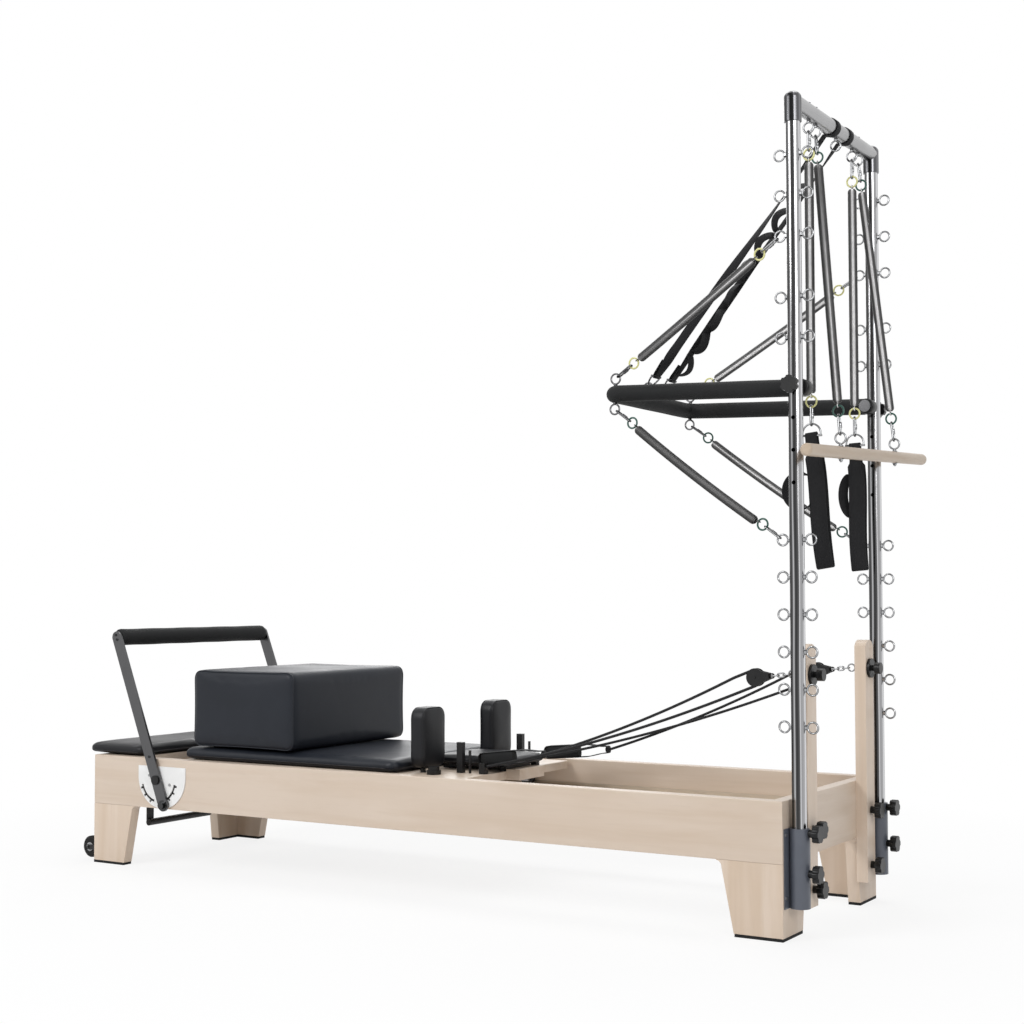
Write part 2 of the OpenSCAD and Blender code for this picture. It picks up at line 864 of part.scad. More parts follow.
module pulley_blocks() {
    color(black) pulley_line() {
        for (s = [-1, 1]) translate([0, s * 8 + 1.5, 0]) plate_y(3) {
            translate([sheave_at, 0]) circle(r = 24);
            polygon([
                [tail_at + 8, -9], [sheave_at + 6, -23], [sheave_at + 6, 23], [tail_at + 8, 9]
            ]);
        }
        translate([tail_at + 6, -9.5, -9]) cube([10, 19, 18]);
        translate([0, 2, 0]) plate_y(4) difference() {
            union() {
                translate([tail_at, 0]) circle(r = 7.5);
                translate([tail_at, -6]) square([8, 12]);
            }
            translate([tail_at, 0]) circle(r = 3.5);
        }
        translate([sheave_at, 0, 0]) rod_y(6, 23);
    }
}

module pulley_sheave() {
    rotate([90, 0, 0]) rotate_extrude() polygon([
        [3.3, -6], [21, -6], [21, -4.8], [groove_r, -4.8],
        [groove_r, 4.8], [21, 4.8], [21, 6], [3.3, 6]
    ]);
}

module pulley_sheave_near() {
    color(satin) translate([pulley_x, -riser_y, pulley_z]) pulley_sheave();
}

module pulley_sheave_far() {
    color(satin) translate([pulley_x, riser_y, pulley_z]) pulley_sheave();
}

module pulley_chains() {
    color(chrome) {
        pulley_line() for (i = [0:2])
            translate([link_at + i * link_pitch, 0, 0]) rotate([i * 90, 0, 0]) rotate([0, 90, 0])
                wire_loop(link_l, link_half, link_wire);
        both_sides() translate([pulley_eye_x, -riser_y, disc_z]) {
            ring_xz(10, link_wire);
            translate([10, 0, 0]) rotate([0, 90, 0]) cylinder(d = 5, h = head_x - pulley_eye_x - 10);
            translate([head_x - pulley_eye_x - 4, 0, 0]) rotate([0, 90, 0]) cylinder(d = 12, h = 4, $fn = 6);
        }
    }
}

// Tower

module poles() {
    color(chrome) both_sides() translate([pole_x, -pole_y, 0]) difference() {
        translate([0, 0, pole_z]) cylinder(d = pole_d, h = pole_top - pole_z);
        translate([0, 0, pole_z - cut]) cylinder(d = pole_d - 2 * pole_wall, h = pole_top - pole_z - 3);
        for (i = [0:3])
            translate([0, 0, push_z - i * push_hole_step])
                rod_y(push_bolt_d + 2 * seat_gap, pole_d + 2 * cut);
    }
}

module pole_sleeves() {
    color(slate) both_sides() translate([pole_x, -pole_y, sleeve_z]) difference() {
        union() {
            cylinder(d = sleeve_d, h = sleeve_h);
            translate([head_x - pole_x, -flange_half, 0]) cube([flange_t, 2 * flange_half, sleeve_h]);
        }
        translate([0, 0, -cut]) cylinder(d = pole_d + 2 * seat_gap, h = sleeve_h + 2 * cut);
        translate([-sleeve_d, -flange_half - cut, -cut])
            cube([head_x - pole_x + sleeve_d, 2 * (flange_half + cut), sleeve_h + 2 * cut]);
    }
}

module fitting_form() {
    r = fitting_d / 2;
    rotate_extrude() polygon(concat(
        [[0, 0], [r, 0], [r, fitting_h - fitting_dome]],
        [for (a = [15:15:75]) [r * cos(a), fitting_h - fitting_dome * (1 - sin(a))]],
        [[0, fitting_h]]
    ));
}

module corner_fittings() {
    color(chrome) both_sides() translate([pole_x, -pole_y, tower_h - fitting_h]) difference() {
        fitting_form();
        translate([0, 0, -cut]) cylinder(d = pole_d, h = pole_top - tower_h + fitting_h + cut);
    }
}

module crossbar() {
    color(satin) difference() {
        translate([pole_x, 0, bar_z]) rod_y(crossbar_d, pole_gap);
        translate([pole_x, 0, bar_z]) rod_y(crossbar_d - 6, pole_gap + 2 * cut);
        both_sides() translate([pole_x, -pole_y, tower_h - fitting_h]) fitting_form();
        for (y = concat(loop_y, roll_y, [spare_eye_y]))
            translate([pole_x, y, bar_z - crossbar_d]) cylinder(d = wire_d + 1.4, h = 2 * crossbar_d);
    }
}

module crossbar_eyebolts() {
    bottom = bar_z - crossbar_d / 2;
    color(chrome)
        for (y = concat(loop_y, roll_y, [spare_eye_y])) translate([pole_x, y, 0]) {
            translate([0, 0, bar_eye_z]) ring_xz(eye_r, wire_d);
            translate([0, 0, bar_eye_z + eye_r]) cylinder(d = wire_d + 1, h = bar_z + crossbar_d / 2 + 4 - bar_eye_z - eye_r);
            translate([0, 0, bottom - 3]) cylinder(d = 13, h = 3, $fn = 6);
            translate([0, 0, bottom + crossbar_d]) cylinder(d = 13, h = 4, $fn = 6);
        }
}

// Eye of the spring on one side (s = -1 or 1) at a height on the pole
function pole_eye(s, z) = [pole_x - eye_reach, s * pole_y, z];
upper_eye_z = eye_rows[8];
lower_eye_z = eye_rows[5];

module pole_eyebolts() {
    color(chrome) {
        both_sides() difference() {
            for (z = eye_rows, turn = [0, 180])
                translate([pole_x, -pole_y, z]) rotate(turn) translate([pole_d / 2 - 2, 0, 0])
                    eyebolt(eye_reach - pole_d / 2 + 2);
            translate([pole_x, -pole_y, pole_z]) cylinder(d = pole_d, h = pole_top - pole_z);
        }
        for (s = [-1, 1]) {
            hooks_and_rings(bar_eye(s, 1), pole_eye(s, upper_eye_z), false, true, false, false);
            hooks_and_rings(bar_eye(s, -1), pole_eye(s, lower_eye_z), false, true, false, false);
        }
    }
}

module risers() {
    color(maple) both_sides()
        translate([head_x, -riser_y, riser_z]) rotate([90, 0, 90]) linear_extrude(riser_t)
            rotate(90) intersection() {
                translate([0, -riser_w / 2]) square([riser_top_z - riser_z, riser_w]);
                translate([-2 * riser_w, 0]) stadium(riser_top_z - riser_z + 2 * riser_w, riser_w * 0.6);
            }
}

module riser_discs() {
    color(black) both_sides() translate([head_x + riser_t, -riser_y, disc_z]) rotate([0, 90, 0]) {
        cylinder(d = 54, h = 8);
        cylinder(d = 16, h = 22);
        translate([0, 0, 18]) cylinder(d = 32, h = 16);
    }
}

module clamp_knobs() {
    color(black) both_sides() {
        difference() {
            for (z = [sleeve_z + 87, sleeve_z + 188])
                translate([pole_x + sleeve_d / 2 - 3, -pole_y, z]) rotate([0, 90, 0]) star_knob();
            translate([pole_x, -pole_y, sleeve_z]) cylinder(d = sleeve_d, h = sleeve_h);
        }
        for (z = [116, 268])
            translate([head_x + riser_t, -riser_y, z]) rotate([0, 90, 0]) star_knob();
        difference() {
            translate([pole_x, -pole_y - pole_d / 2 + 2, push_z]) rotate([90, 0, 0]) star_knob();
            translate([pole_x, -pole_y, push_z - 20]) cylinder(d = pole_d, h = 40);
        }
        translate([pole_x, -pole_y - pole_d / 2 - 4, push_z]) rotate([-90, 0, 0])
            cylinder(d = push_bolt_d, h = pole_y + pole_d / 2 + 4 - push_y + 14);
    }
    color(chrome) pivot_bolts();
}

// Push-through bar, drawn level with its pivot axis through the origin

module push_place() {
    translate([pole_x, 0, push_z]) rotate([0, push_rise, 0]) children();
}

function push_point(x, y, z) = [
    pole_x + x * cos(push_rise) + z * sin(push_rise),
    y,
    push_z - x * sin(push_rise) + z * cos(push_rise)
];

// Eye on the push-through bar, above it (up = 1) or below it (up = -1)
function bar_eye(s, up) = push_point(-push_eye_x, s * push_eye_y, up * push_eye_up);

// Eye of a strap on the cross member and the place of the strap at the crossbar
function strap_eye(y) = push_point(-push_l, y, push_eye_up);
function strap_top(y) = [pole_x, y, bar_z];

module pushbar_frame() {
    color(black) push_place() {
        both_sides() {
            difference() {
                union() {
                    translate([0, -push_y, 0]) rotate([0, -90, 0])
                        cylinder(d = push_d, h = push_l - push_bend);
                    translate([0, -push_y, 0]) rod_y(push_d - 2, push_d - 6);
                }
                translate([0, -push_y, 0]) rod_y(push_bolt_d + 2 * seat_gap, push_d + 2 * cut);
            }
            translate([-push_l + push_bend, push_y - push_bend, 0]) rotate(90)
                rotate_extrude(angle = 90) translate([push_bend, 0]) circle(d = push_d);
        }
        translate([-push_l, 0, 0]) rod_y(push_d, 2 * (push_y - push_bend));
    }
}

module pushbar_fittings() {
    color(chrome) {
        push_place() {
            for (s = [-1, 1], up = [-1, 1])
                translate([-push_eye_x, s * push_eye_y, 0]) rotate([0, -90 * up, 0])
                    translate([push_d / 2, 0, 0]) eyebolt(19);
            for (y = [strap_y, chain_strap_y])
                translate([-push_l, y, 0]) rotate([0, -90, 0])
                    translate([push_d / 2, 0, 0]) eyebolt(19);
            both_sides() translate([0, -push_y + push_d / 2 + seat_gap, 0]) rotate([-90, 0, 0])
                cylinder(d = 34, h = 4);
        }
        for (s = [-1, 1], up = [-1, 1])
            hooks_and_rings(
                bar_eye(s, up), pole_eye(s, up > 0 ? upper_eye_z : lower_eye_z), true, false, false, false
            );
        for (y = [strap_y, chain_strap_y]) along(strap_eye(y), strap_top(y))
            translate([0, 0, hook_at + dee_r]) rotate(90) mirror([0, 0, 1]) dee_ring();
    }
}

module push_springs_upper() {
    color(satin)
        for (s = [-1, 1]) spring_between(bar_eye(s, 1), pole_eye(s, upper_eye_z), short_curls);
}

module push_springs_lower() {
    color(satin)
        for (s = [-1, 1]) spring_between(bar_eye(s, -1), pole_eye(s, lower_eye_z), short_curls);
}

module rings_yellow_poles() {
    color(yellow) for (s = [-1, 1])
        hooks_and_rings(bar_eye(s, 1), pole_eye(s, upper_eye_z), false, false, false, true);
}

module rings_green_poles() {
    color(green) for (s = [-1, 1])
        hooks_and_rings(bar_eye(s, -1), pole_eye(s, lower_eye_z), false, false, false, true);
}

module rings_yellow_bar() {
    color(yellow) for (s = [-1, 1])
        hooks_and_rings(bar_eye(s, 1), pole_eye(s, upper_eye_z), false, false, true, false);
}

module rings_green_bar() {
    color(green) for (s = [-1, 1])
        hooks_and_rings(bar_eye(s, -1), pole_eye(s, lower_eye_z), false, false, true, false);
}

// Hanging foot loops

loop_end = 2 * spring_at + loop_spring_l;
function loop_top(y) = [pole_x, y, bar_eye_z];
function loop_foot(y) = [pole_x, y, bar_eye_z - loop_end];
loop_hook_z = bar_eye_z - loop_end + ring_at - ring_r + link_step;
dee_z = loop_hook_z - hook_l + link_step - dee_r;
loop_bar_z = dee_z - dee_leg;

module loop_spring(y) {
    color(satin) {
        spring_between(loop_top(y), loop_foot(y), long_curls);
        hooks_and_rings(loop_top(y), loop_foot(y), true, false, false, false);
        translate([pole_x, y, loop_hook_z]) mirror([0, 0, 1]) snap_hook();
        translate([pole_x, y, dee_z]) dee_ring();
    }
}

module loop_rings(y) {
    color(yellow) hooks_and_rings(loop_top(y), loop_foot(y), false, false, true, true);
}

// Webbing loop over the bar of its ring, with a side loop that stands out towards -X
module loop_strap(y, lean, out) {
    half = wire_d / 2 + 0.5 + seat_gap + web_t + web_w / 2 * sin(lean);
    w = web_w - 2 * half * sin(lean);
    color(black) translate([pole_x, y, loop_bar_z]) rotate([0, -lean, 0]) {
        translate([-w / 2, 0, half]) rotate([0, 90, 0]) linear_extrude(w)
            strap_outline(loop_l, half, web_t);
        translate([0, 14, 0]) plate_y(28) intersection() {
            translate([44 - web_w / 2 - out, -140]) difference() {
                circle(r = 44);
                circle(r = 44 - web_t);
            }
            translate([-web_w / 2 - 90, -200]) square([92, 120]);
        }
    }
}

module loop_spring_near() {
    loop_spring(loop_y[0]);
}

module loop_spring_far() {
    loop_spring(loop_y[1]);
}

module loop_rings_near() {
    loop_rings(loop_y[0]);
}

module loop_rings_far() {
    loop_rings(loop_y[1]);
}

module loop_strap_near() {
    loop_strap(loop_y[0], 6, 66);
}

module loop_strap_far() {
    loop_strap(loop_y[1], 2, 20);
}

// Roll-down bar

function roll_top(i) = [pole_x, roll_y[i], bar_eye_z];
function roll_foot(i) = let (y = (2 * i - 1) * dowel_eye_y) [
    dowel_x,
    y * cos(dowel_roll) - dowel_eye_up * sin(dowel_roll),
    dowel_z + y * sin(dowel_roll) + dowel_eye_up * cos(dowel_roll)
];

module dowel_place() {
    translate([dowel_x, 0, dowel_z]) rotate([dowel_roll, 0, 0]) children();
}

// Eyebolt that goes down through the dowel, with a nut above and below it
module dowel_eyebolt() {
    translate([0, 0, dowel_eye_up]) ring_xz(eye_r, wire_d);
    translate([0, 0, -dowel_d / 2 - 9]) cylinder(d = wire_d + 1, h = dowel_eye_up + dowel_d / 2 + 9 - eye_r);
    translate([0, 0, dowel_d / 2]) cylinder(d = 12, h = 4, $fn = 6);
    translate([0, 0, -dowel_d / 2 - 6]) cylinder(d = 11, h = 6, $fn = 6);
}

module rolldown_springs() {
    color(satin) {
        for (i = [0, 1]) {
            spring_between(roll_top(i), roll_foot(i), long_curls);
            hooks_and_rings(roll_top(i), roll_foot(i), true, true, false, false);
        }
        dowel_place() for (s = [-1, 1]) translate([0, s * dowel_eye_y, 0]) dowel_eyebolt();
    }
}

module rolldown_rings() {
    color(green) for (i = [0, 1])
        hooks_and_rings(roll_top(i), roll_foot(i), false, false, true, true);
}

module rolldown_bar() {
    r = dowel_d / 2;
    round_r = r * 0.7;
    color(maple) dowel_place() difference() {
        rotate([90, 0, 0]) rotate_extrude() polygon(concat(
            [[0, -dowel_l / 2]],
            [for (a = [-90:15:0]) [r - round_r + round_r * cos(a), round_r - dowel_l / 2 + round_r * sin(a)]],
            [for (a = [0:15:90]) [r - round_r + round_r * cos(a), dowel_l / 2 - round_r + round_r * sin(a)]],
            [[0, dowel_l / 2]]
        ));
        for (s = [-1, 1])
            translate([0, s * dowel_eye_y, -dowel_d]) cylinder(d = wire_d + 1.6, h = 2 * dowel_d);
    }
}

// Safety straps from the crossbar to the cross member of the push-through bar

module safety_strap() {
    run = norm(strap_top(0) - strap_eye(0));
    at = hook_at + dee_r + dee_leg;
    fold = wire_d / 2 + 0.5 + seat_gap + web_t;
    wrap = crossbar_d / 2 + seat_gap;
    color(black) {
        along(strap_eye(strap_y), strap_top(strap_y)) rotate([90, 0, 0])
            translate([0, 0, -strap_w / 2]) linear_extrude(strap_w)
                strap_side(at, run, fold, wrap);
        along(strap_eye(chain_strap_y), strap_top(chain_strap_y)) rotate([90, 0, 0])
            translate([0, 0, -strap_w / 2]) linear_extrude(strap_w) {
                strap_side(at, run, fold, wrap);
                for (i = [0:7]) translate([0, at + 60 + i * 80]) scallop();
            }
    }
}

// Side view of a strap: a fold at its foot, a flat run and a wrap round the crossbar
module strap_side(at, run, fold, wrap) {
    difference() {
        union() {
            translate([0, at]) circle(r = fold);
            translate([-web_t / 2, at + fold - 2]) square([web_t, run - at - fold - wrap + 1]);
            translate([0, run]) circle(r = wrap + web_t);
        }
        translate([0, at]) circle(r = fold - web_t);
        translate([0, run]) circle(r = wrap);
    }
}

module scallop() {
    intersection() {
        translate([-6, 0]) difference() {
            circle(r = 34);
            circle(r = 34 - web_t);
        }
        translate([-60, -40]) square([60, 80]);
    }
}

side_rails();
end_boards();
legs();
foot_pads();
tracks();
lift_handle();
transport_wheels();
foot_platform();
foot_platform_pad();
slot_plates();
frame_screws();
spring_bar();
carriage_springs();
footbar_arms();
footbar_grip();
footbar_pins();
carriage_board();
carriage_pad();
shoulder_rests();
rest_posts();
headrest();
wheel_axles();
load_wheels_foot();
load_wheels_head();
rope_cleats();
sitting_box();
rope_near();
rope_far();
handles();
pulley_blocks();
pulley_sheave_near();
pulley_sheave_far();
pulley_chains();
poles();
pole_sleeves();
corner_fittings();
crossbar();
crossbar_eyebolts();
pole_eyebolts();
risers();
riser_discs();
clamp_knobs();
pushbar_frame();
pushbar_fittings();
push_springs_upper();
push_springs_lower();
rings_yellow_poles();
rings_green_poles();
rings_yellow_bar();
rings_green_bar();
loop_spring_near();
loop_spring_far();
loop_rings_near();
loop_rings_far();
loop_strap_near();
loop_strap_far();
rolldown_springs();
rolldown_rings();
rolldown_bar();
safety_strap();
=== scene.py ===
from collections import namedtuple
import math

import bpy
import numpy as np
from mathutils import Matrix, Vector
from mathutils.bvhtree import BVHTree


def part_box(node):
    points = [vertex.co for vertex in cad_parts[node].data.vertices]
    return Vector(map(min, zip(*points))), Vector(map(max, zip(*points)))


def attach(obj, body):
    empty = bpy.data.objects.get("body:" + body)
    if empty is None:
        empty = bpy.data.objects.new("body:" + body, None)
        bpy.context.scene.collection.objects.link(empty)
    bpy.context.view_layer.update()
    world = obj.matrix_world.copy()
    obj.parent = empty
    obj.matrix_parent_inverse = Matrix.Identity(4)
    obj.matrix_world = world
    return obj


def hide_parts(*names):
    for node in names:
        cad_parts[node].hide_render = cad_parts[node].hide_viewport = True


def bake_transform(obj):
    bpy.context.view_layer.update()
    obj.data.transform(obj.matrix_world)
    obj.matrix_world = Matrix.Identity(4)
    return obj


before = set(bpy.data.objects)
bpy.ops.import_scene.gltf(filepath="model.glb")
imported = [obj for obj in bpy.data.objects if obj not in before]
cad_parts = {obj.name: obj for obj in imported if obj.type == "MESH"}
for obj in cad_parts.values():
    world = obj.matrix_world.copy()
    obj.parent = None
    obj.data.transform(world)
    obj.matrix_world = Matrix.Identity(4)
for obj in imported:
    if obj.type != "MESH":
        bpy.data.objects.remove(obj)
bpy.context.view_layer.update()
MM = 0.001
scene = bpy.context.scene


# Camera, fitted to the photo

AZIMUTH = math.radians(31.6785)
LOOK_UP = math.radians(2.4981)
ROLL = math.radians(-0.1086)
CAMERA_AT = (2.7358, -4.1908, 0.8657)
SENSOR_MM = 36
PHOTO_PX = 1024
FOCAL_PX = 1620.32
MIDDLE_PX = (506.755, 525.657)


def make_camera():
    ca, sa = math.cos(AZIMUTH), math.sin(AZIMUTH)
    cp, sp = math.cos(LOOK_UP), math.sin(LOOK_UP)
    back = Vector((sa * cp, -ca * cp, -sp))
    right = Vector((ca, sa, 0))
    up = back.cross(right)
    rolled_right = right * math.cos(ROLL) + up * math.sin(ROLL)
    rolled_up = up * math.cos(ROLL) - right * math.sin(ROLL)
    turn = Matrix((rolled_right, rolled_up, back)).transposed()
    data = bpy.data.cameras.new("photo_camera")
    data.sensor_width = SENSOR_MM
    data.lens = FOCAL_PX * SENSOR_MM / PHOTO_PX
    data.shift_x = (PHOTO_PX / 2 - MIDDLE_PX[0]) / PHOTO_PX
    data.shift_y = (MIDDLE_PX[1] - PHOTO_PX / 2) / PHOTO_PX
    data.clip_start, data.clip_end = 0.1, 60
    camera = bpy.data.objects.new("photo_camera", data)
    camera.matrix_world = Matrix.Translation(CAMERA_AT) @ turn.to_4x4()
    scene.collection.objects.link(camera)
    scene.camera = camera


# Shader helpers


class Nodes:
    """The emptied node tree of a material or a world."""

    def __init__(self, owner):
        owner.use_nodes = True
        self.tree = owner.node_tree
        self.tree.nodes.clear()

    def node(self, kind, inputs=None, **settings):
        """Adds a node. inputs holds a value or a socket for each input, by its name or number."""
        made = self.tree.nodes.new("ShaderNode" + kind)
        for key, value in settings.items():
            setattr(made, key, value)
        for key, value in (inputs or {}).items():
            self.feed(made.inputs[key], value)
        return made

    def feed(self, socket, value):
        if isinstance(value, bpy.types.NodeSocket):
            self.tree.links.new(value, socket)
        elif socket.type == "RGBA":
            socket.default_value = (*value, 1)
        else:
            socket.default_value = value

    def math(self, operation, a, b=0.0):
        return self.node("Math", {0: a, 1: b}, operation=operation).outputs[0]

    def span(self, value, low, high, to_low, to_high):
        ends = {"From Min": low, "From Max": high, "To Min": to_low, "To Max": to_high}
        return self.node("MapRange", {"Value": value, **ends}).outputs["Result"]

    def seen_directly(self):
        """1 for camera, glossy and transmission rays, else 0."""
        path = self.node("LightPath").outputs
        either = self.math("MAXIMUM", path["Is Camera Ray"], path["Is Glossy Ray"])
        return self.math("MAXIMUM", either, path["Is Transmission Ray"])


class Shader(Nodes):
    """A Principled material and its nodes."""

    by_name = {}

    def __init__(self, name, color, roughness, metallic=0.0, **constants):
        self.material = bpy.data.materials.new(name)
        super().__init__(self.material)
        self.by_name[name] = self
        base = {"Base Color": color, "Roughness": roughness, "Metallic": metallic}
        self.main = self.node("BsdfPrincipled", base)
        self.node("OutputMaterial", {"Surface": self.main.outputs["BSDF"]})
        for key, value in constants.items():
            self.put(key.replace("_", " ").title().replace("Ior", "IOR"), value)

    def put(self, key, value):
        self.feed(self.main.inputs[key], value)

    def coords(self, scale=(1, 1, 1)):
        source = self.node("TexCoord").outputs["Object"]
        return self.node("Mapping", {"Vector": source, "Scale": scale}).outputs["Vector"]

    def uv_parts(self):
        source = self.node("TexCoord").outputs["UV"]
        return self.node("SeparateXYZ", {"Vector": source}).outputs

    def noise(self, vector, scale, detail=3.0, rough=0.5, distortion=0.0):
        grain = {"Scale": scale, "Detail": detail, "Roughness": rough, "Distortion": distortion}
        return self.node("TexNoise", {"Vector": vector, **grain}).outputs["Fac"]

    def voronoi(self, vector, scale):
        return self.node("TexVoronoi", {"Vector": vector, "Scale": scale}).outputs["Distance"]

    def ramp(self, factor, stops):
        made = self.node("ValToRGB", {"Fac": factor})
        bar = made.color_ramp
        while len(bar.elements) < len(stops):
            bar.elements.new(0.5)
        for element, (at, color) in zip(bar.elements, stops):
            element.position = at
            element.color = (*color, 1)
        return made.outputs["Color"]

    def greys(self, factor, stops):
        return self.ramp(factor, [(at, (k, k, k * 1.01)) for at, k in stops])

    def mix(self, factor, a, b, blend="MIX"):
        return self.node("Mix", {0: factor, 6: a, 7: b}, data_type="RGBA", blend_type=blend).outputs[2]

    def bump(self, height, strength, distance, **under):
        relief = {"Height": height, "Strength": strength, "Distance": distance}
        return self.node("Bump", {**relief, **under}).outputs["Normal"]

    def facing(self, **normal):
        return self.node("LayerWeight", {"Blend": 0.5, **normal}).outputs["Facing"]

    def patchy(self, where, low, high, share, color, gain, lift=0.0):
        """Base colour that goes towards color * gain + lift in the patches of where."""
        other = tuple(min(1, k * gain + lift) for k in color)
        self.put("Base Color", self.mix(self.span(where, low, high, 0.0, share), color, other))

    def dull(self, where, low, high, shiny, matt):
        self.put("Roughness", self.span(where, low, high, shiny, matt))

    def relief(self, height, strength, distance, **under):
        self.put("Normal", self.bump(height, strength, distance, **under))

    def blend_of(self, first, second, share):
        """The first texture with a share of the second added."""
        return self.math("ADD", first, self.math("MULTIPLY", second, share))

    def wave(self, value):
        return self.math("ABSOLUTE", self.math("SINE", value))


# Materials


def wood(name, light, dark, grain):
    """Lacquered wood with its grain along the axis named by grain."""
    s = Shader(name, light, 0.42, coat_weight=0.10, coat_roughness=0.25, specular_ior_level=0.35)
    along = tuple(1.0 if axis == grain else 14.0 for axis in "xyz")
    place = s.coords(along)
    broad = s.noise(place, 1.3, 4.0, 0.55, 0.6)
    fine = s.noise(place, 9.0, 6.0, 0.65, 0.2)
    pores = s.noise(s.coords(tuple(k * 6 for k in along)), 14.0, 2.0)
    spots = s.noise(s.coords((2.0, 2.0, 2.0)), 2.2, 2.0)
    tone = s.ramp(broad, [(0.3, dark), (0.62, light)])
    line = tuple(0.5 * (a + b) * 0.86 for a, b in zip(light, dark))
    color = s.mix(s.span(fine, 0.56, 0.74, 0.0, 0.28), tone, line)
    spot = tuple(k * 0.95 for k in dark)
    s.put("Base Color", s.mix(s.span(spots, 0.45, 0.8, 0.0, 0.25), color, spot))
    s.dull(fine, 0.3, 0.7, 0.33, 0.46)
    s.relief(pores, 0.08, 0.0004)
    return s.material


def vinyl(name, color):
    """Upholstery vinyl with a fine pebble grain and a few soft creases."""
    s = Shader(name, color, 0.42, specular_ior_level=0.24)
    place = s.coords()
    grain = s.voronoi(place, 620)
    coarse = s.noise(place, 260)
    creases = s.noise(place, 7.0, 3.0, 0.5, 0.8)
    wear = s.noise(place, 3.1, 3.0, 0.6)
    s.patchy(wear, 0.42, 0.75, 0.55, color, 1.45, 0.004)
    s.dull(wear, 0.3, 0.75, 0.36, 0.50)
    pebble = s.bump(s.blend_of(grain, coarse, 0.6), 0.22, 0.0004)
    s.relief(creases, 0.30, 0.0035, Normal=pebble)
    return s.material


# Painted reflection: greys of a room painted into the base colour of polished metal, by how far the surface
# turns away from the view or, on uprights, by which way it faces
PAINTED_REFLECTION_BY_FACING = [
    (0, 0.74), (0.06, 0.50), (0.15, 0.18), (0.30, 0.06), (0.46, 0.12), (0.60, 0.30), (0.76, 0.10), (1, 0.03),
]
PAINTED_REFLECTION_ON_UPRIGHTS = [
    (0, 0.05), (0.07, 0.12), (0.13, 0.50), (0.17, 0.66), (0.20, 0.14), (0.28, 0.05), (0.43, 0.09),
    (0.48, 0.20), (0.505, 0.95), (0.535, 0.62), (0.60, 0.40), (0.78, 0.50), (0.85, 0.90), (0.90, 0.72),
    (0.95, 0.22), (1, 0.08),
]
# The fixed direction across which the upright stripes of painted reflection lie
TUBE_ACROSS = (0.851, 0.525, 0.0)
# Painted highlight and shade of spring wire, by how far the coil turns away from the view
SPRING_PAINTED_HIGHLIGHT = [(0.0, 1.0), (0.055, 1.0), (0.09, 0.24), (0.20, 0.10), (0.42, 0.05), (0.70, 0.03), (1.0, 0.02)]


def polished(name, color, roughness, across=None):
    """Polished metal with faint smears, hairline scratches and a painted reflection: dark and light bands of a
    room painted into its base colour.
    """
    s = Shader(name, color, roughness, 1.0)
    smears = s.noise(s.coords(), 14.0, 4.0, 0.6, 0.4)
    scratches = s.noise(s.coords((1, 1, 0.06)), 900.0, 2.0)
    s.dull(smears, 0.35, 0.75, roughness, roughness + 0.09)
    # The painted reflection, multiplied into the base colour below
    if across is None:
        painted_reflection = s.greys(s.facing(), PAINTED_REFLECTION_BY_FACING)
    else:
        normal = s.node("NewGeometry").outputs["Normal"]
        dot = s.node("VectorMath", {0: normal, 1: across}, operation="DOT_PRODUCT").outputs["Value"]
        drift = s.noise(s.coords((0.01, 0.01, 1.6)), 1.0, 1.0)
        lean = s.math("ADD", s.span(dot, -1, 1, 0, 1), s.span(drift, 0.3, 0.7, -0.045, 0.045))
        painted_reflection = s.greys(lean, PAINTED_REFLECTION_ON_UPRIGHTS)
    s.put("Base Color", s.mix(1.0, painted_reflection, color, "MULTIPLY"))
    s.relief(scratches, 0.03, 0.0001)
    return s.material


def brushed(name, color, roughness, axis):
    """Satin metal brushed along one axis."""
    s = Shader(name, color, roughness, 1.0)
    lines = s.noise(s.coords(tuple(3 if k == axis else 300 for k in "xyz")), 2.0, 3.0, 0.6)
    stains = s.noise(s.coords(), 12.0, 3.0, 0.55)
    s.dull(lines, 0.3, 0.7, roughness - 0.07, roughness + 0.10)
    s.patchy(stains, 0.4, 0.8, 0.5, color, 0.82)
    s.relief(lines, 0.10, 0.0002)
    return s.material


def painted(name, color, roughness, speck, strength, coat=0.0):
    """Paint or powder coat with a fine orange peel and slightly worn patches."""
    s = Shader(name, color, roughness, coat_weight=coat, coat_roughness=0.2, specular_ior_level=0.30)
    place = s.coords()
    patches = s.noise(place, 18.0, 4.0, 0.6)
    s.patchy(patches, 0.45, 0.8, 0.5, color, 1.22, 0.01)
    s.dull(patches, 0.3, 0.8, roughness - 0.06, roughness + 0.09)
    s.relief(s.noise(place, speck, 2.0), strength, 0.0003)
    return s.material


def foam(name, color):
    """Closed cell foam sleeve: matt, with small open cells."""
    s = Shader(name, color, 0.72, specular_ior_level=0.18)
    place = s.coords()
    scuffs = s.noise(place, 11.0, 4.0, 0.65)
    s.patchy(scuffs, 0.45, 0.8, 0.7, color, 1.7, 0.004)
    s.dull(scuffs, 0.3, 0.8, 0.60, 0.80)
    s.relief(s.blend_of(s.voronoi(place, 700), s.noise(place, 90.0), 0.8), 0.35, 0.0006)
    return s.material


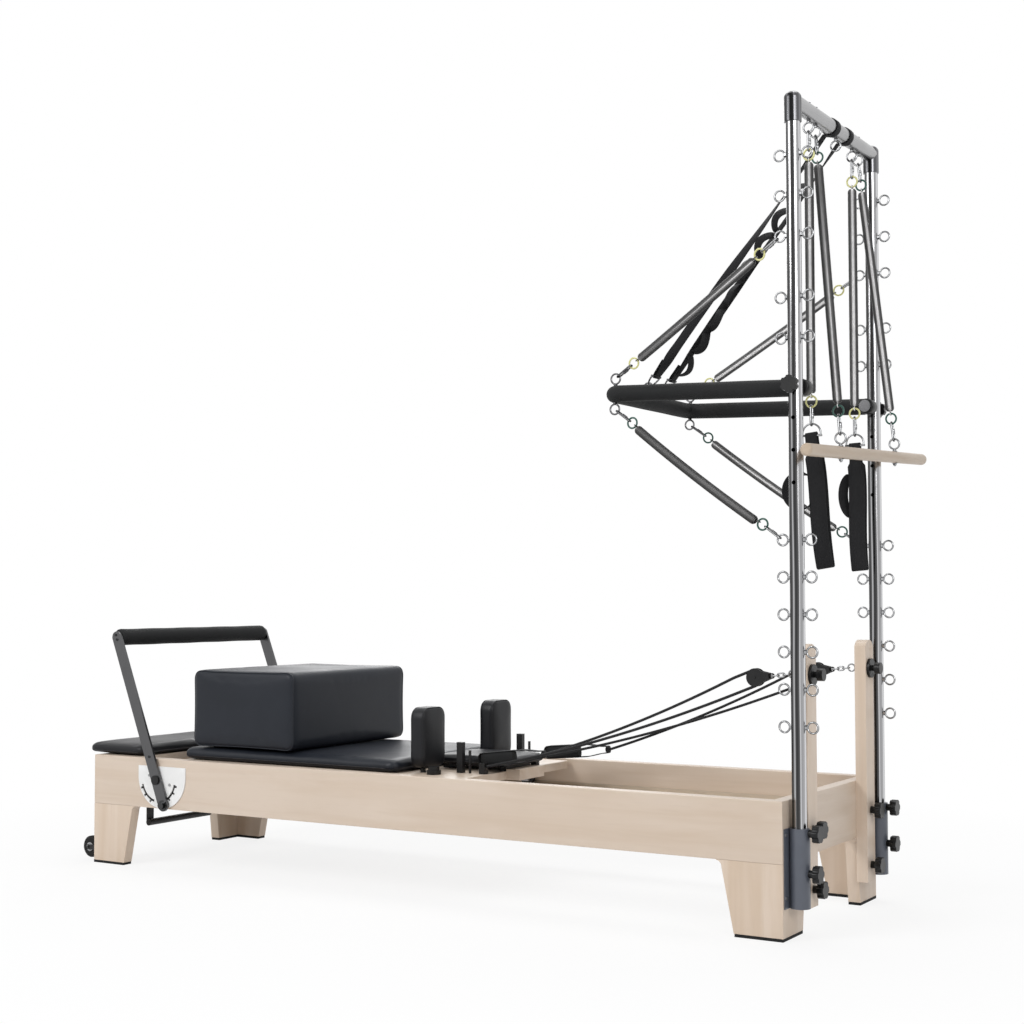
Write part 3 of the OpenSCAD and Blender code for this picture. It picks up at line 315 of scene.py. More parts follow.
def webbing(name, color, threads=20.0, step=0.0021):
    """Woven webbing on UVs: u runs across from 0 to 1, v along in metres."""
    s = Shader(name, color, 0.62, specular_ior_level=0.20)
    u, v, _ = s.uv_parts()
    across = s.math("MULTIPLY", u, threads)
    odd = s.math("MODULO", s.math("FLOOR", across), 2.0)
    along = s.blend_of(s.math("DIVIDE", v, step), odd, 0.5)
    warp, weft = (s.wave(s.math("MULTIPLY", k, math.pi)) for k in (across, along))
    weave = s.math("MULTIPLY", warp, weft)
    fuzz = s.noise(s.coords(), 420.0)
    lint = s.noise(s.coords(), 30.0)
    # Painted highlight and shade: lighter on the crowns of the weave than between its threads, by more or less
    # with the random lint
    lighter = tuple(k * 1.7 + 0.003 for k in color)
    s.put("Base Color", s.mix(s.math("MULTIPLY", weave, s.span(lint, 0.3, 0.8, 0.3, 0.9)), color, lighter))
    s.dull(fuzz, 0.3, 0.7, 0.55, 0.72)
    s.relief(s.blend_of(weave, fuzz, 0.4), 0.55, 0.0007)
    return s.material


def braid(name, color, strands=8, step=0.0062):
    """Braided rope on UVs: u runs round from 0 to 1, v along in metres."""
    s = Shader(name, color, 0.62, specular_ior_level=0.20)
    u, v, _ = s.uv_parts()
    turn = s.math("MULTIPLY", u, strands * math.pi)
    along = s.math("MULTIPLY", v, 2 * math.pi / step)
    left, right = (s.wave(s.math(way, turn, along)) for way in ("ADD", "SUBTRACT"))
    plait = s.math("MAXIMUM", left, right)
    fuzz = s.noise(s.coords(), 700.0)
    # Painted shade and highlight: darker in the grooves between strands, lighter on their crowns
    low, high = tuple(k * 0.5 for k in color), tuple(k * 1.9 + 0.006 for k in color)
    s.put("Base Color", s.mix(s.span(plait, 0.5, 1.0, 0.0, 0.8), low, high))
    s.dull(fuzz, 0.3, 0.7, 0.55, 0.72)
    s.relief(s.blend_of(plait, fuzz, 0.3), 0.6, 0.0010)
    return s.material


def spring_wire(name, color):
    """Close-coiled steel wire: a painted highlight along the middle of the coil, painted shade at its sides,
    and oily in patches.
    """
    s = Shader(name, color, 0.30, 0.45)
    radial = s.node("Attribute", attribute_name="radial").outputs["Vector"]
    to_world = {"vector_type": "VECTOR", "convert_from": "OBJECT", "convert_to": "WORLD"}
    out = s.node("VectorTransform", {"Vector": radial}, **to_world).outputs["Vector"]
    film = s.noise(s.coords(), 16.0, 4.0, 0.6)
    worn = s.mix(s.span(film, 0.4, 0.8, 0.0, 0.6), color, tuple(k * 0.70 for k in color))
    s.put("Base Color", s.mix(1.0, s.greys(s.facing(Normal=out), SPRING_PAINTED_HIGHLIGHT), worn, "MULTIPLY"))
    s.dull(film, 0.3, 0.75, 0.38, 0.52)
    return s.material


def rubber(name, color):
    s = Shader(name, color, 0.78, specular_ior_level=0.2)
    place = s.coords()
    dust = s.noise(place, 22.0, 4.0, 0.6)
    s.patchy(dust, 0.45, 0.8, 0.6, color, 2.0, 0.01)
    s.dull(dust, 0.3, 0.8, 0.68, 0.88)
    s.relief(s.noise(place, 500.0, 4.0, 0.6), 0.25, 0.0004)
    return s.material


MAPLE = (0.662, 0.555, 0.458)
MAPLE_DARK = (0.592, 0.472, 0.366)
maple_x = wood("maple_along_x", MAPLE, MAPLE_DARK, "x")
maple_y = wood("maple_along_y", MAPLE, MAPLE_DARK, "y")
maple_z = wood("maple_along_z", (0.715, 0.595, 0.488), (0.635, 0.504, 0.386), "z")
dowel_wood = wood("dowel_wood", (0.540, 0.440, 0.340), (0.455, 0.350, 0.255), "y")
seat_vinyl = vinyl("blue_black_vinyl", (0.0120, 0.0145, 0.0205))
dark_vinyl = vinyl("black_vinyl", (0.009, 0.0095, 0.0115))
chrome = polished("chrome", (0.84, 0.85, 0.86), 0.08)
tube_chrome = polished("tube_chrome", (0.80, 0.80, 0.81), 0.12, TUBE_ACROSS)
fitting_chrome = polished("fitting_chrome", (0.42, 0.42, 0.43), 0.14)
corner_chrome = polished("corner_chrome", (0.25, 0.25, 0.26), 0.16, TUBE_ACROSS)
satin_y = brushed("satin_steel_y", (0.41, 0.41, 0.415), 0.30, "y")
satin_z = brushed("satin_steel_z", (0.120, 0.120, 0.123), 0.32, "z")
# Tinted warm brown and darker than bare aluminium, to look like the shaded wood around the track: painted
# shade
aluminium = brushed("aluminium_track", (0.52, 0.45, 0.37), 0.50, "x")
spring_steel = spring_wire("spring_steel", (0.97, 0.96, 0.95))
slate = painted("slate_paint", (0.098, 0.108, 0.132), 0.36, 700.0, 0.06, 0.3)
white_coat = painted("white_powder_coat", (0.80, 0.80, 0.79), 0.42, 800.0, 0.10)
black_coat = painted("black_powder_coat", (0.018, 0.018, 0.019), 0.45, 800.0, 0.16)
black_plastic = painted("black_plastic", (0.006, 0.006, 0.0065), 0.34, 1200.0, 0.08)
wheel_plastic = painted("wheel_plastic", (0.022, 0.022, 0.024), 0.50, 1000.0, 0.14)
yellow_coat = painted("yellow_coat", (0.66, 0.64, 0.28), 0.32, 900.0, 0.05, 0.3)
green_coat = painted("green_coat", (0.012, 0.075, 0.055), 0.32, 900.0, 0.05, 0.3)
black_foam = foam("black_foam", (0.012, 0.0125, 0.013))
black_webbing = webbing("black_webbing", (0.0075, 0.0075, 0.0085))
black_rope = braid("black_rope", (0.012, 0.012, 0.013))
black_rubber = rubber("black_rubber", (0.012, 0.012, 0.012))
wheel_rubber = rubber("wheel_rubber", (0.014, 0.014, 0.014))
thread = painted("black_thread", (0.030, 0.031, 0.034), 0.55, 1500.0, 0.2)


# The CAD nodes that stay: their materials, and the radius in mm to which edges are eased

STAYING = (
    (maple_x, "side_rails carriage_board"),
    (maple_y, "end_boards foot_platform"),
    (maple_z, "legs risers"),
    (dowel_wood, "rolldown_bar"),
    (black_rubber, "foot_pads"),
    (wheel_rubber, "transport_wheels"),
    (aluminium, "tracks"),
    (white_coat, "slot_plates"),
    (black_coat, "lift_handle"),
    (slate, "pole_sleeves"),
    (satin_y, "frame_screws spring_bar wheel_axles pulley_sheave_near pulley_sheave_far crossbar"),
    (satin_z, "footbar_arms"),
    (chrome, "footbar_pins pulley_chains crossbar_eyebolts pole_eyebolts"),
    (tube_chrome, "poles"),
    (corner_chrome, "corner_fittings"),
    (fitting_chrome, "pushbar_fittings"),
    (wheel_plastic, "load_wheels_foot load_wheels_head"),
    (black_plastic, "rest_posts rope_cleats pulley_blocks riser_discs clamp_knobs"),
    (yellow_coat, "rings_yellow_poles rings_yellow_bar loop_rings_near loop_rings_far"),
    (green_coat, "rings_green_poles rings_green_bar rolldown_rings"),
)
EASED = {
    "side_rails": 2.0, "end_boards": 2.0, "legs": 2.0, "foot_platform": 1.5, "carriage_board": 2.0,
    "risers": 2.5, "footbar_arms": 1.0, "slot_plates": 0.6, "rope_cleats": 2.0, "clamp_knobs": 0.8,
    "pulley_blocks": 0.8,
}
WHEEL_AXIS = (-1.263, 0, 0.044)
HUB_R = 0.014
HUB_METAL = (0.42, 0.42, 0.43)


def metal_hub(s, centre, radius):
    """Metal hub cap inside a wheel: centre is on the wheel's axis, in the node's own space."""
    parts = s.node("SeparateXYZ", {"Vector": s.node("TexCoord").outputs["Object"]}).outputs
    x = s.math("SUBTRACT", parts["X"], centre[0])
    z = s.math("SUBTRACT", parts["Z"], centre[2])
    away = s.math("SQRT", s.math("ADD", s.math("MULTIPLY", x, x), s.math("MULTIPLY", z, z)))
    inside = s.math("LESS_THAN", away, radius)
    before = s.main.inputs["Base Color"].links[0].from_socket
    s.put("Base Color", s.mix(inside, before, HUB_METAL))
    s.put("Metallic", inside)


def ease_edges(obj, radius):
    weld = obj.modifiers.new("weld", "WELD")
    weld.merge_threshold = 0.00002
    ease = obj.modifiers.new("eased_edges", "BEVEL")
    ease.width = radius
    ease.segments = 2
    ease.limit_method = "ANGLE"
    ease.angle_limit = math.radians(40)
    ease.harden_normals = False


def dress_cad():
    for material, names in STAYING:
        for name in names.split():
            obj = bpy.data.objects[name]
            obj.data.materials.clear()
            obj.data.materials.append(material)
            if name in EASED:
                ease_edges(obj, EASED[name] * MM)
    wheels = bpy.data.objects["transport_wheels"]
    metal_hub(Shader.by_name["wheel_rubber"], wheels.matrix_world.inverted() @ Vector(WHEEL_AXIS), HUB_R)


# Mesh helpers


def unit(v):
    v = np.asarray(v, float)
    return v / np.linalg.norm(v)


def smooth(t):
    t = np.clip(t, 0, 1)
    return t * t * (3 - 2 * t)


def make(name, verts, faces, materials, uvs=None, slots=None, shaded=True):
    """A mesh object from points and faces; uvs holds one pair per face corner."""
    mesh = bpy.data.meshes.new(name)
    mesh.from_pydata([tuple(v) for v in verts], [], [tuple(f) for f in faces])
    if uvs is not None:
        layer = mesh.uv_layers.new(name="along")
        layer.data.foreach_set("uv", np.asarray(uvs, np.float32).ravel())
    for m in materials:
        mesh.materials.append(m)
    if slots is not None:
        mesh.polygons.foreach_set("material_index", np.asarray(slots, np.int32))
    mesh.polygons.foreach_set("use_smooth", [shaded] * len(mesh.polygons))
    mesh.update()
    obj = bpy.data.objects.new(name, mesh)
    scene.collection.objects.link(obj)
    return obj


def dress(obj, body, node):
    """Puts a piece on its body, in the place of its CAD node, which it hides."""
    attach(obj, body)
    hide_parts(node)


def frames(path, ref, closed=False):
    """Tangent and two cross directions at each point, carried along without twist."""
    ahead = np.roll(path, -1, 0) - np.roll(path, 1, 0) if closed else np.gradient(path, axis=0)
    t = ahead / np.linalg.norm(ahead, axis=1)[:, None]
    a = np.asarray(ref, float)
    rows = []
    for i in range(len(path)):
        a = a - (a @ t[i]) * t[i]
        a = a / np.linalg.norm(a)
        rows.append((t[i], a, np.cross(t[i], a)))
    return rows


def lengths(path):
    return np.concatenate([[0], np.cumsum(np.linalg.norm(np.diff(path, axis=0), axis=1))])


def ring_faces(low, high, count):
    """Quads between two rings of count points whose first points are low and high."""
    return [(low + k, low + (k + 1) % count, high + (k + 1) % count, high + k) for k in range(count)]


def skin(start, u, v, cap_u, closed=False):
    """Faces and UVs of a tube of rings: u holds the UV at each column's edges, v at each ring."""
    count, rings = len(u) - 1, len(v) - closed
    faces, uvs = [], []
    for i, (v0, v1) in enumerate(zip(v, v[1:])):
        faces += ring_faces(start + i * count, start + (i + 1) % rings * count, count)
        for u0, u1 in zip(u, u[1:]):
            uvs += [(u0, v0), (u1, v0), (u1, v1), (u0, v1)]
    if not closed:
        last = start + (rings - 1) * count
        faces += [[start + k for k in range(count - 1, -1, -1)], [last + k for k in range(count)]]
        uvs += [(a, v[0]) for a in cap_u[::-1]] + [(a, v[-1]) for a in cap_u]
    return faces, uvs


def sweep_parts(path, outline, ref, closed=False, widths=None, start=0, twist=None):
    """Points, faces and UVs of an outline carried along a path. outline holds (across, up, u)."""
    p = np.asarray(path, float)
    outline = np.asarray(outline, float)
    rows = frames(p, ref, closed)
    if twist is not None:
        turns = [(math.cos(q), math.sin(q)) for q in twist]
        rows = [(t, a * c + b * s, b * c - a * s) for (t, a, b), (c, s) in zip(rows, turns)]
    far = lengths(p)
    wide = np.ones((len(p), 2)) if widths is None else np.asarray(widths, float)
    if wide.ndim == 1:
        wide = np.stack([wide, wide], 1)
    verts = []
    for i, (t, a, b) in enumerate(rows):
        verts.extend(p[i] + outline[:, :1] * wide[i, 0] * a + outline[:, 1:2] * wide[i, 1] * b)
    u, v = list(outline[:, 2]), list(far)
    if closed:
        v.append(far[-1] + np.linalg.norm(p[0] - p[-1]))
    return verts, *skin(start, u + [u[0] + 1.0 if u[-1] > 0.5 else u[0]], v, u, closed)


class Build:
    """Collects swept parts and plain solids of one piece."""

    def __init__(self):
        self.verts, self.faces, self.uvs, self.slots = [], [], [], []

    def add(self, parts, slot=0):
        verts, faces, uvs = parts
        self.verts.extend(verts)
        self.faces.extend(faces)
        self.uvs.extend(uvs)
        self.slots.extend([slot] * len(faces))

    def sweep(self, path, outline, ref, closed=False, widths=None, slot=0):
        self.add(sweep_parts(path, outline, ref, closed, widths, len(self.verts)), slot)

    def tube(self, path, radius, ref=(0, 0, 1), sides=12, closed=False, widths=None, slot=0):
        turns = [2 * math.pi * k / sides for k in range(sides)]
        ring = [(math.cos(a) * radius, math.sin(a) * radius, k / sides) for k, a in enumerate(turns)]
        self.sweep(path, ring, ref, closed, widths, slot)

    def ribbon(self, path, width, thick, across, widths=None, closed=False, twist=None):
        """Webbing whose width runs along `across`, with rounded selvedges."""
        w, t = width / 2, thick / 2
        e = min(t * 0.8, w * 0.2)
        outline = [
            (-w + e, -t, 0.03), (w - e, -t, 0.97), (w, -t * 0.35, 1.0), (w, t * 0.35, 1.0),
            (w - e, t, 0.97), (-w + e, t, 0.03), (-w, t * 0.35, 0.0), (-w, -t * 0.35, 0.0),
        ]
        verts, faces, uvs = sweep_parts(path, outline, across, closed, widths, len(self.verts), twist)
        self.add((verts, faces, [(min(max(a, 0), 1), b) for a, b in uvs]))

    def lathe(self, profile, origin, axis, sides=32, slot=0):
        """Solid of revolution: profile holds (distance along axis, radius)."""
        z = unit(axis)
        x = unit(np.cross(z, (0.3, 0.9, 0.1) if abs(z[1]) < 0.9 else (0.9, 0.1, 0.3)))
        y = np.cross(z, x)
        turns = [2 * math.pi * k / sides for k in range(sides)]
        verts = []
        for h, r in profile:
            verts += [np.asarray(origin) + z * h + (x * math.cos(a) + y * math.sin(a)) * r for a in turns]
        u, v = [k / sides for k in range(sides + 1)], [h for h, r in profile]
        self.add((verts, *skin(len(self.verts), u, v, [0.5] * sides)), slot)

    def piece(self, name, *materials):
        obj = make(name, self.verts, self.faces, materials, self.uvs, self.slots)
        sharp = obj.modifiers.new("sharp", "EDGE_SPLIT")
        sharp.split_angle = math.radians(50)
        sharp.use_edge_sharp = False
        return obj


def along(a, b):
    """Frame whose Z runs from a to b and whose Y stays near the row's +Y, as in the CAD."""
    z = unit(np.asarray(b, float) - np.asarray(a, float))
    x = unit(np.cross((0, 1, 0), z))
    y = np.cross(z, x)
    return np.asarray(a, float), x, y, z


def at(place, x, y, z):
    o, ax, ay, az = place
    return o + ax * x + ay * y + az * z


def arc(centre, x, y, radius, a0, a1, steps):
    """Points on an arc in the plane of x and y."""
    centre, x, y = (np.asarray(v) for v in (centre, x, y))
    turns = np.linspace(math.radians(a0), math.radians(a1), steps)
    return [centre + radius * (math.cos(a) * x + math.sin(a) * y) for a in turns]


def ring_path(centre, x, y, radius, steps=40):
    return arc(centre, x, y, radius, 0, 360 * (steps - 1) / steps, steps)


def inner_angles(count=13):
    """Angles of a half turn without its ends."""
    return np.linspace(0, math.pi, count)[1:-1]


def resampled(points, far, t):
    """Points of a path at the distances t, by straight runs between its own points."""
    return np.stack([np.interp(t, far, column) for column in points.T], -1)


def spaced(path, step):
    """The same path with points about a step apart, on a smooth curve through them."""
    p = np.asarray(path, float)
    far = lengths(p)
    n = max(4, int(round(far[-1] / step)))
    out = resampled(p, far, np.linspace(0, far[-1], n + 1))
    for _ in range(2):
        out[1:-1] = 0.25 * out[:-2] + 0.5 * out[1:-1] + 0.25 * out[2:]
    return out


# Sizes repeated from the CAD source, in metres

SIDES = ((-1, "near"), (1, "far"))
POLE_X, POLE_Y, POLE_EYE_OUT = 1.2015, 0.300, 0.038
UPPER_EYE, LOWER_EYE, BAR_EYE_Z = 1.790, 1.008, 2.095
EYE_R, WIRE = 0.014, 0.005
GAP, LEAN_GAP = 0.0003, 0.0004
HOOK_L, HOOK_HALF = 0.054, 0.007
RING_R = 0.0145
LINK = WIRE + GAP
HOOK_AT = EYE_R - LINK - LEAN_GAP
RING_AT = HOOK_AT + HOOK_L - LINK + RING_R
SPRING_AT = RING_AT + RING_R + WIRE / 2 + GAP
PUSH_Z, PUSH_L, PUSH_Y, PUSH_R, PUSH_BEND = 1.402, 0.560, 0.250, 0.023, 0.032
PUSH_RISE = math.radians(2.2)
CORNER = PUSH_BEND * (1 - math.cos(math.radians(45)))
EYE_UP = PUSH_R + 0.019
DEE_R, DEE_LEG = 0.025, 0.006
LOOP_Y = (-0.190, 0.140)
LOOP_SPRING = 0.617
LOOP_END = 2 * SPRING_AT + LOOP_SPRING
LOOP_HOOK_Z = BAR_EYE_Z - LOOP_END + RING_AT - RING_R + LINK
ROLL_Y = (-0.140, 0.190)
DOWEL_X, DOWEL_Z, DOWEL_ROLL, DOWEL_R = POLE_X + 0.088, 1.242, math.radians(2.5), 0.016
DOWEL_EYE_Y, DOWEL_EYE_UP = 0.215, DOWEL_R + 0.021
STRAP_TOP_Z = 2.137
CROSSBAR_R = 0.021
SPRING_ROW = 0.080
SHOULDER_W = 0.120
CARRIAGE_SPRING_END = 0.0075


def push_point(x, y, z):
    c, s = math.cos(PUSH_RISE), math.sin(PUSH_RISE)
    return np.array((POLE_X + x * c + z * s, y, PUSH_Z - x * s + z * c))


def bar_eye(side, up):
    return push_point(-(PUSH_L - CORNER), side * (PUSH_Y - CORNER), up * EYE_UP)


def pole_eye(side, z):
    return np.array((POLE_X - POLE_EYE_OUT, side * POLE_Y, z))


# Springs, hooks and rings


def coil_piece(name, node, a, b, end, radius=0.0125, wire=0.0030, sag=0.0, taper=0.009, body=None, blend=None,
               sides=7, per_turn=14):
    """Close-coiled spring between the ring centres at a and b, with tapered ends and eyes through the rings.

    end is the distance from a and from b to the wire of the ring that the spring hooks over.
    """
    o, ax, ay, az = place = along(a, b)
    total = np.linalg.norm(b - a)
    eye = wire / 2 + WIRE / 2 + 0.0012
    z0, z1 = end + eye + wire * 0.5, total - end - eye - wire * 0.5
    run = z1 - z0
    turns = run / (wire * 1.03)
    s = np.linspace(0, 1, int(turns * per_turn) + 1)
    z = z0 + run * s
    ends = np.clip(np.minimum(s, 1 - s) * run / taper, 0, 1)
    r = (radius - wire / 2) * (0.28 + 0.72 * np.sqrt(np.clip(1 - (1 - ends) ** 2, 0, 1)))
    angle = 2 * math.pi * turns * s
    down = np.array((0, 0, -1.0)) - az * (np.array((0, 0, -1.0)) @ az)

    def middle_line(t):
        return o + az * t[:, None] + down * (sag * 4 * (t / total) * (1 - t / total))[:, None]

    path = middle_line(z) + (ax * np.cos(angle)[:, None] + ay * np.sin(angle)[:, None]) * r[:, None]
    build = Build()
    build.tube(path, wire / 2, unit(ax), sides)
    for where, out in ((end, az), (total - end, -az)):
        build.tube(arc(at(place, 0, 0, where), ay, out, eye, -60, 250, 16), wire / 2, unit(ax), 8)
    obj = build.piece(name, spring_steel)
    # The outward direction of the coil at each point, which places the painted highlight and shade of
    # spring_wire
    verts = np.array(build.verts)
    radial = verts - middle_line((verts - o) @ az)
    radial /= np.maximum(np.linalg.norm(radial, axis=1), 1e-6)[:, None]
    layer = obj.data.attributes.new("radial", "FLOAT_VECTOR", "POINT")
    layer.data.foreach_set("vector", radial.astype(np.float32).ravel())
    if blend:
        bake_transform(obj)
    else:
        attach(obj, body)
    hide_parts(node)


def spring_piece(name, node, a, b, **more):
    """Spring of a chain from eye a to eye b, hooked over the rings next to its ends."""
    coil_piece(name, node, a, b, RING_AT + RING_R, **more)


def snap_hook(build, place, start=HOOK_AT):
    """Pear-shaped snap hook in the plane of the place's Y and Z, its gate on one side."""
    ax, ay, az = place[1:]
    half = HOOK_HALF
    path = arc(at(place, 0, 0, start + half), ay, -az, half, 0, 180, 12)
    path += arc(at(place, 0, 0, start + HOOK_L - half), -ay, az, half, 0, 180, 14)
    build.tube(spaced(path + path[:1], 0.0022)[:-1], WIRE / 2, unit(ax), 10, closed=True)
    g0, g1 = (at(place, 0, half, start + HOOK_L * share) for share in (0.36, 0.64))
    d = np.linalg.norm(g1 - g0)
    r = WIRE / 2 + 0.0015
    gate = [(0, r * 0.8), (0.0012, r), (d * 0.3, r), (d * 0.33, r * 0.93), (d * 0.37, r), (d - 0.0012, r),
            (d, r * 0.8)]
    build.lathe(gate, g0, g1 - g0, 16)


def dee_ring(build, top_wire):
    """D-ring that hangs from top_wire: an arc of wire with a straight bar below it, along X."""
    x, down = np.array((1.0, 0, 0)), np.array((0, 0, -1.0))
    centre = top_wire + down * DEE_R
    bar = centre + down * DEE_LEG
    path = [bar + x * DEE_R] + arc(centre, x, -down, DEE_R, 0, 180, 22) + [bar - x * DEE_R]
    build.tube(spaced(path, 0.003), WIRE / 2, np.cross(x, down), 10)
    ends = DEE_R + WIRE / 2 + 0.001
    rod = [(0, 0.0024), (0.0006, 0.003), (2 * ends - 0.0006, 0.003), (2 * ends, 0.0024)]
    build.lathe(rod, bar - x * ends, x, 16)


def rolldown_eye(build, middle, foot, up):
    """Eyebolt through the dowel, with its washers, head and nut."""
    build.tube(ring_path(foot, (1, 0, 0), up, EYE_R), WIRE / 2, (0, 1, 0), 10, closed=True)
    shank = [(-DOWEL_R - 0.009, 0.0026), (-DOWEL_R - 0.008, 0.003), (DOWEL_EYE_UP - EYE_R, 0.003)]
    build.lathe(shank, middle, up, 16)
    washer_r, washer_t, nut_r = 0.0085, 0.0014, 0.0055
    for z0, r, t, sides in (
            (DOWEL_R, washer_r, washer_t, 24), (DOWEL_R + washer_t, nut_r, 0.0030, 6),
            (-DOWEL_R - washer_t, washer_r, washer_t, 24), (-DOWEL_R - 0.0062, nut_r, 0.0048, 6)):
        rounded = [(z0, r * 0.9), (z0 + t * 0.2, r), (z0 + t * 0.8, r), (z0 + t, r * 0.9)]
        build.lathe(rounded, middle, up, sides)


def make_springs():
    for side, who in SIDES:
        for up, where, z, sag in ((1, "upper", UPPER_EYE, 0.004), (-1, "lower", LOWER_EYE, 0.012)):
            spring_piece("push_spring_%s_%s" % (where, who), "push_springs_" + where, bar_eye(side, up),
                         pole_eye(side, z), sag=sag, blend=("push_bar", "frame"))
    for y, (_, who) in zip(LOOP_Y, SIDES):
        body, node = "loop_" + who, "loop_spring_" + who
        top, foot = (np.array((POLE_X, y, z)) for z in (BAR_EYE_Z, BAR_EYE_Z - LOOP_END))
        spring_piece("hanging_spring_" + who, node, top, foot, body=body)
        hooks = Build()
        snap_hook(hooks, along(top, foot))
        snap_hook(hooks, along((POLE_X, y, LOOP_HOOK_Z), (POLE_X, y, 0)), 0.0)
        dee_ring(hooks, np.array((POLE_X, y, LOOP_HOOK_Z - HOOK_L + LINK)))
        dress(hooks.piece("loop_hooks_" + who, chrome), body, node)
    c, s = math.cos(DOWEL_ROLL), math.sin(DOWEL_ROLL)
    up = np.array((0, -s, c))
    hooks = Build()
    for (side, who), top_y in zip(SIDES, ROLL_Y):
        y = side * DOWEL_EYE_Y
        top = np.array((POLE_X, top_y, BAR_EYE_Z))
        middle = np.array((DOWEL_X, y * c, DOWEL_Z + y * s))
        foot = np.array((DOWEL_X, y * c - DOWEL_EYE_UP * s, DOWEL_Z + y * s + DOWEL_EYE_UP * c))
        spring_piece("rolldown_spring_" + who, "rolldown_springs", top, foot, body="roll_down")
        snap_hook(hooks, along(top, foot))
        snap_hook(hooks, along(foot, top))
        rolldown_eye(hooks, middle, foot, up)
    dress(hooks.piece("rolldown_hooks", chrome), "roll_down", "rolldown_springs")
    lo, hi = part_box("carriage_springs")
    for k in range(5):
        y, z = (k - 2) * SPRING_ROW, (lo[2] + hi[2]) / 2
        a, b = (np.array((x, y, z)) for x in (lo[0] + 0.001, hi[0] - 0.001))
        coil_piece("carriage_spring_%d" % (k + 1), "carriage_springs", a, b, CARRIAGE_SPRING_END,
                   radius=0.0118, wire=0.0032, taper=0.018, blend=("frame", "carriage"), sides=6, per_turn=12)


# Cushions


def outline_points(w, d, r, pull, count):
    """Rounded rectangle of w by d whose sides draw in by pull, as evenly spaced points."""
    pts = []
    for a0, sx, sy in ((-90, 1, -1), (0, 1, 1), (90, -1, 1), (180, -1, -1)):
        corner = (sx * (w / 2 - r), sy * (d / 2 - r))
        pts += arc(corner, (1, 0), (0, 1), r, a0, a0 + 90, 13)
    p = np.array(pts + [pts[0]])
    far = lengths(p)
    q = resampled(p, far, np.linspace(0, far[-1], count, endpoint=False))
    x, y = q[:, 0] / (w / 2), q[:, 1] / (d / 2)
    draw_x = np.clip(1 - y * y, 0, 1) * (np.abs(x) > 0.9)
    draw_y = np.clip(1 - x * x, 0, 1) * (np.abs(y) > 0.9)
    q[:, 0] -= np.sign(x) * pull * draw_x
    q[:, 1] -= np.sign(y) * pull * draw_y
    return q


def inset(q, amount):
    """Moves a closed outline inward by amount along its normals."""
    ahead = np.roll(q, -1, 0) - np.roll(q, 1, 0)
    n = np.stack([-ahead[:, 1], ahead[:, 0]], 1)
    n /= np.linalg.norm(n, axis=1)[:, None]
    return q + n * amount


# Radii of a pad's corners and of its upper and lower edge, the crown of its top, how far its sides draw in and
# bulge, the crown of its underside, the voxel and the limit of its cloth simulation, and its fill
Form = namedtuple("Form", "corner edge low_edge crown pull bulge low_crown voxel cap fill")
SEAT = Form(0.030, 0.020, 0.006, 0.003, 0.003, 0.002, 0, voxel=0.0070, cap=0.006, fill=0.85)
PLATFORM = Form(0.030, 0.022, 0.006, 0.004, 0.002, 0.002, 0, voxel=0.0060, cap=0.006, fill=0.85)
HEADREST = Form(0.032, 0.015, 0.005, 0.003, 0.002, 0.0015, 0, voxel=0.0050, cap=0.005, fill=0.8)
BOX = Form(0.028, 0.016, 0.016, 0.004, 0.0025, 0.001, 0.004, voxel=0.0080, cap=0.0014, fill=0.9)
SHOULDER = Form(0.036, 0.011, 0.011, 0.004, 0.0015, 0.001, 0.004, voxel=0.0045, cap=0.0015, fill=0.85)


def pad_mesh(w, d, h, form, count=200, dome=2.6):
    """Padded form on z = 0: rolled edges, bulging drawn-in sides and a crowned top."""
    corner, edge, low_edge, crown, pull, bulge, low_crown = form[:7]
    q = outline_points(w, d, corner, pull, count)
    rows = []
    for a in np.radians(np.linspace(0, 90, 5)):
        rows.append((low_edge * (1 - math.sin(a)), low_crown + low_edge * (1 - math.cos(a))))
    z0, z1 = low_crown + low_edge, h - crown - edge
    for t in np.linspace(0, 1, 7)[1:-1]:
        rows.append((0.0, z0 + (z1 - z0) * t))
    for a in np.radians(np.linspace(0, 90, 8)):
        rows.append((edge * (1 - math.cos(a)), z1 + edge * math.sin(a)))
    span = h - crown - low_crown
    rows = [(i + bulge * (1 - math.sin(math.pi * (z - low_crown) / span)), z) for i, z in rows]
    rings = [[(x, y, z) for x, y in inset(q, amount)] for amount, z in rows]
    top, top_z = inset(q, rows[-1][0]), rows[-1][1]
    for f in np.linspace(1, 0, 16)[1:-1]:
        rings.append([(x * f, y * f, top_z + crown * (1 - f ** dome)) for x, y in top])
    sides = len(rings)
    for f in np.linspace(1, 0, 10)[1:-1]:
        rings.append([(x * f, y * f, low_crown * f ** dome) for x, y in inset(q, rows[0][0])])
    verts = [p for ring in rings for p in ring] + [(0, 0, top_z + crown), (0, 0, 0)]
    faces = []
    for j in range(sides - 1):
        faces += ring_faces(j * count, (j + 1) * count, count)
    last = (sides - 1) * count
    faces += [(last + i, last + (i + 1) % count, len(verts) - 2) for i in range(count)]
    under = [0] + [j * count for j in range(sides, len(rings))]
    for a, b in zip(under, under[1:]):
        faces += [(a + (i + 1) % count, a + i, b + i, b + (i + 1) % count) for i in range(count)]
    last = under[-1]
    faces += [(last + (i + 1) % count, last + i, len(verts) - 1) for i in range(count)]
    return np.array(verts), faces


def points_of(mesh):
    co = np.empty(len(mesh.vertices) * 3)
    mesh.vertices.foreach_get("co", co)
    return co.reshape(-1, 3)


def set_points(mesh, co):
    mesh.vertices.foreach_set("co", co.ravel())
    mesh.update()


CLOTH = {
    "quality": 4, "mass": 0.35, "tension_stiffness": 40, "compression_stiffness": 40, "shear_stiffness": 20,
    "bending_stiffness": 8, "use_pressure": True,
}
CLOTH_FRAMES = 20


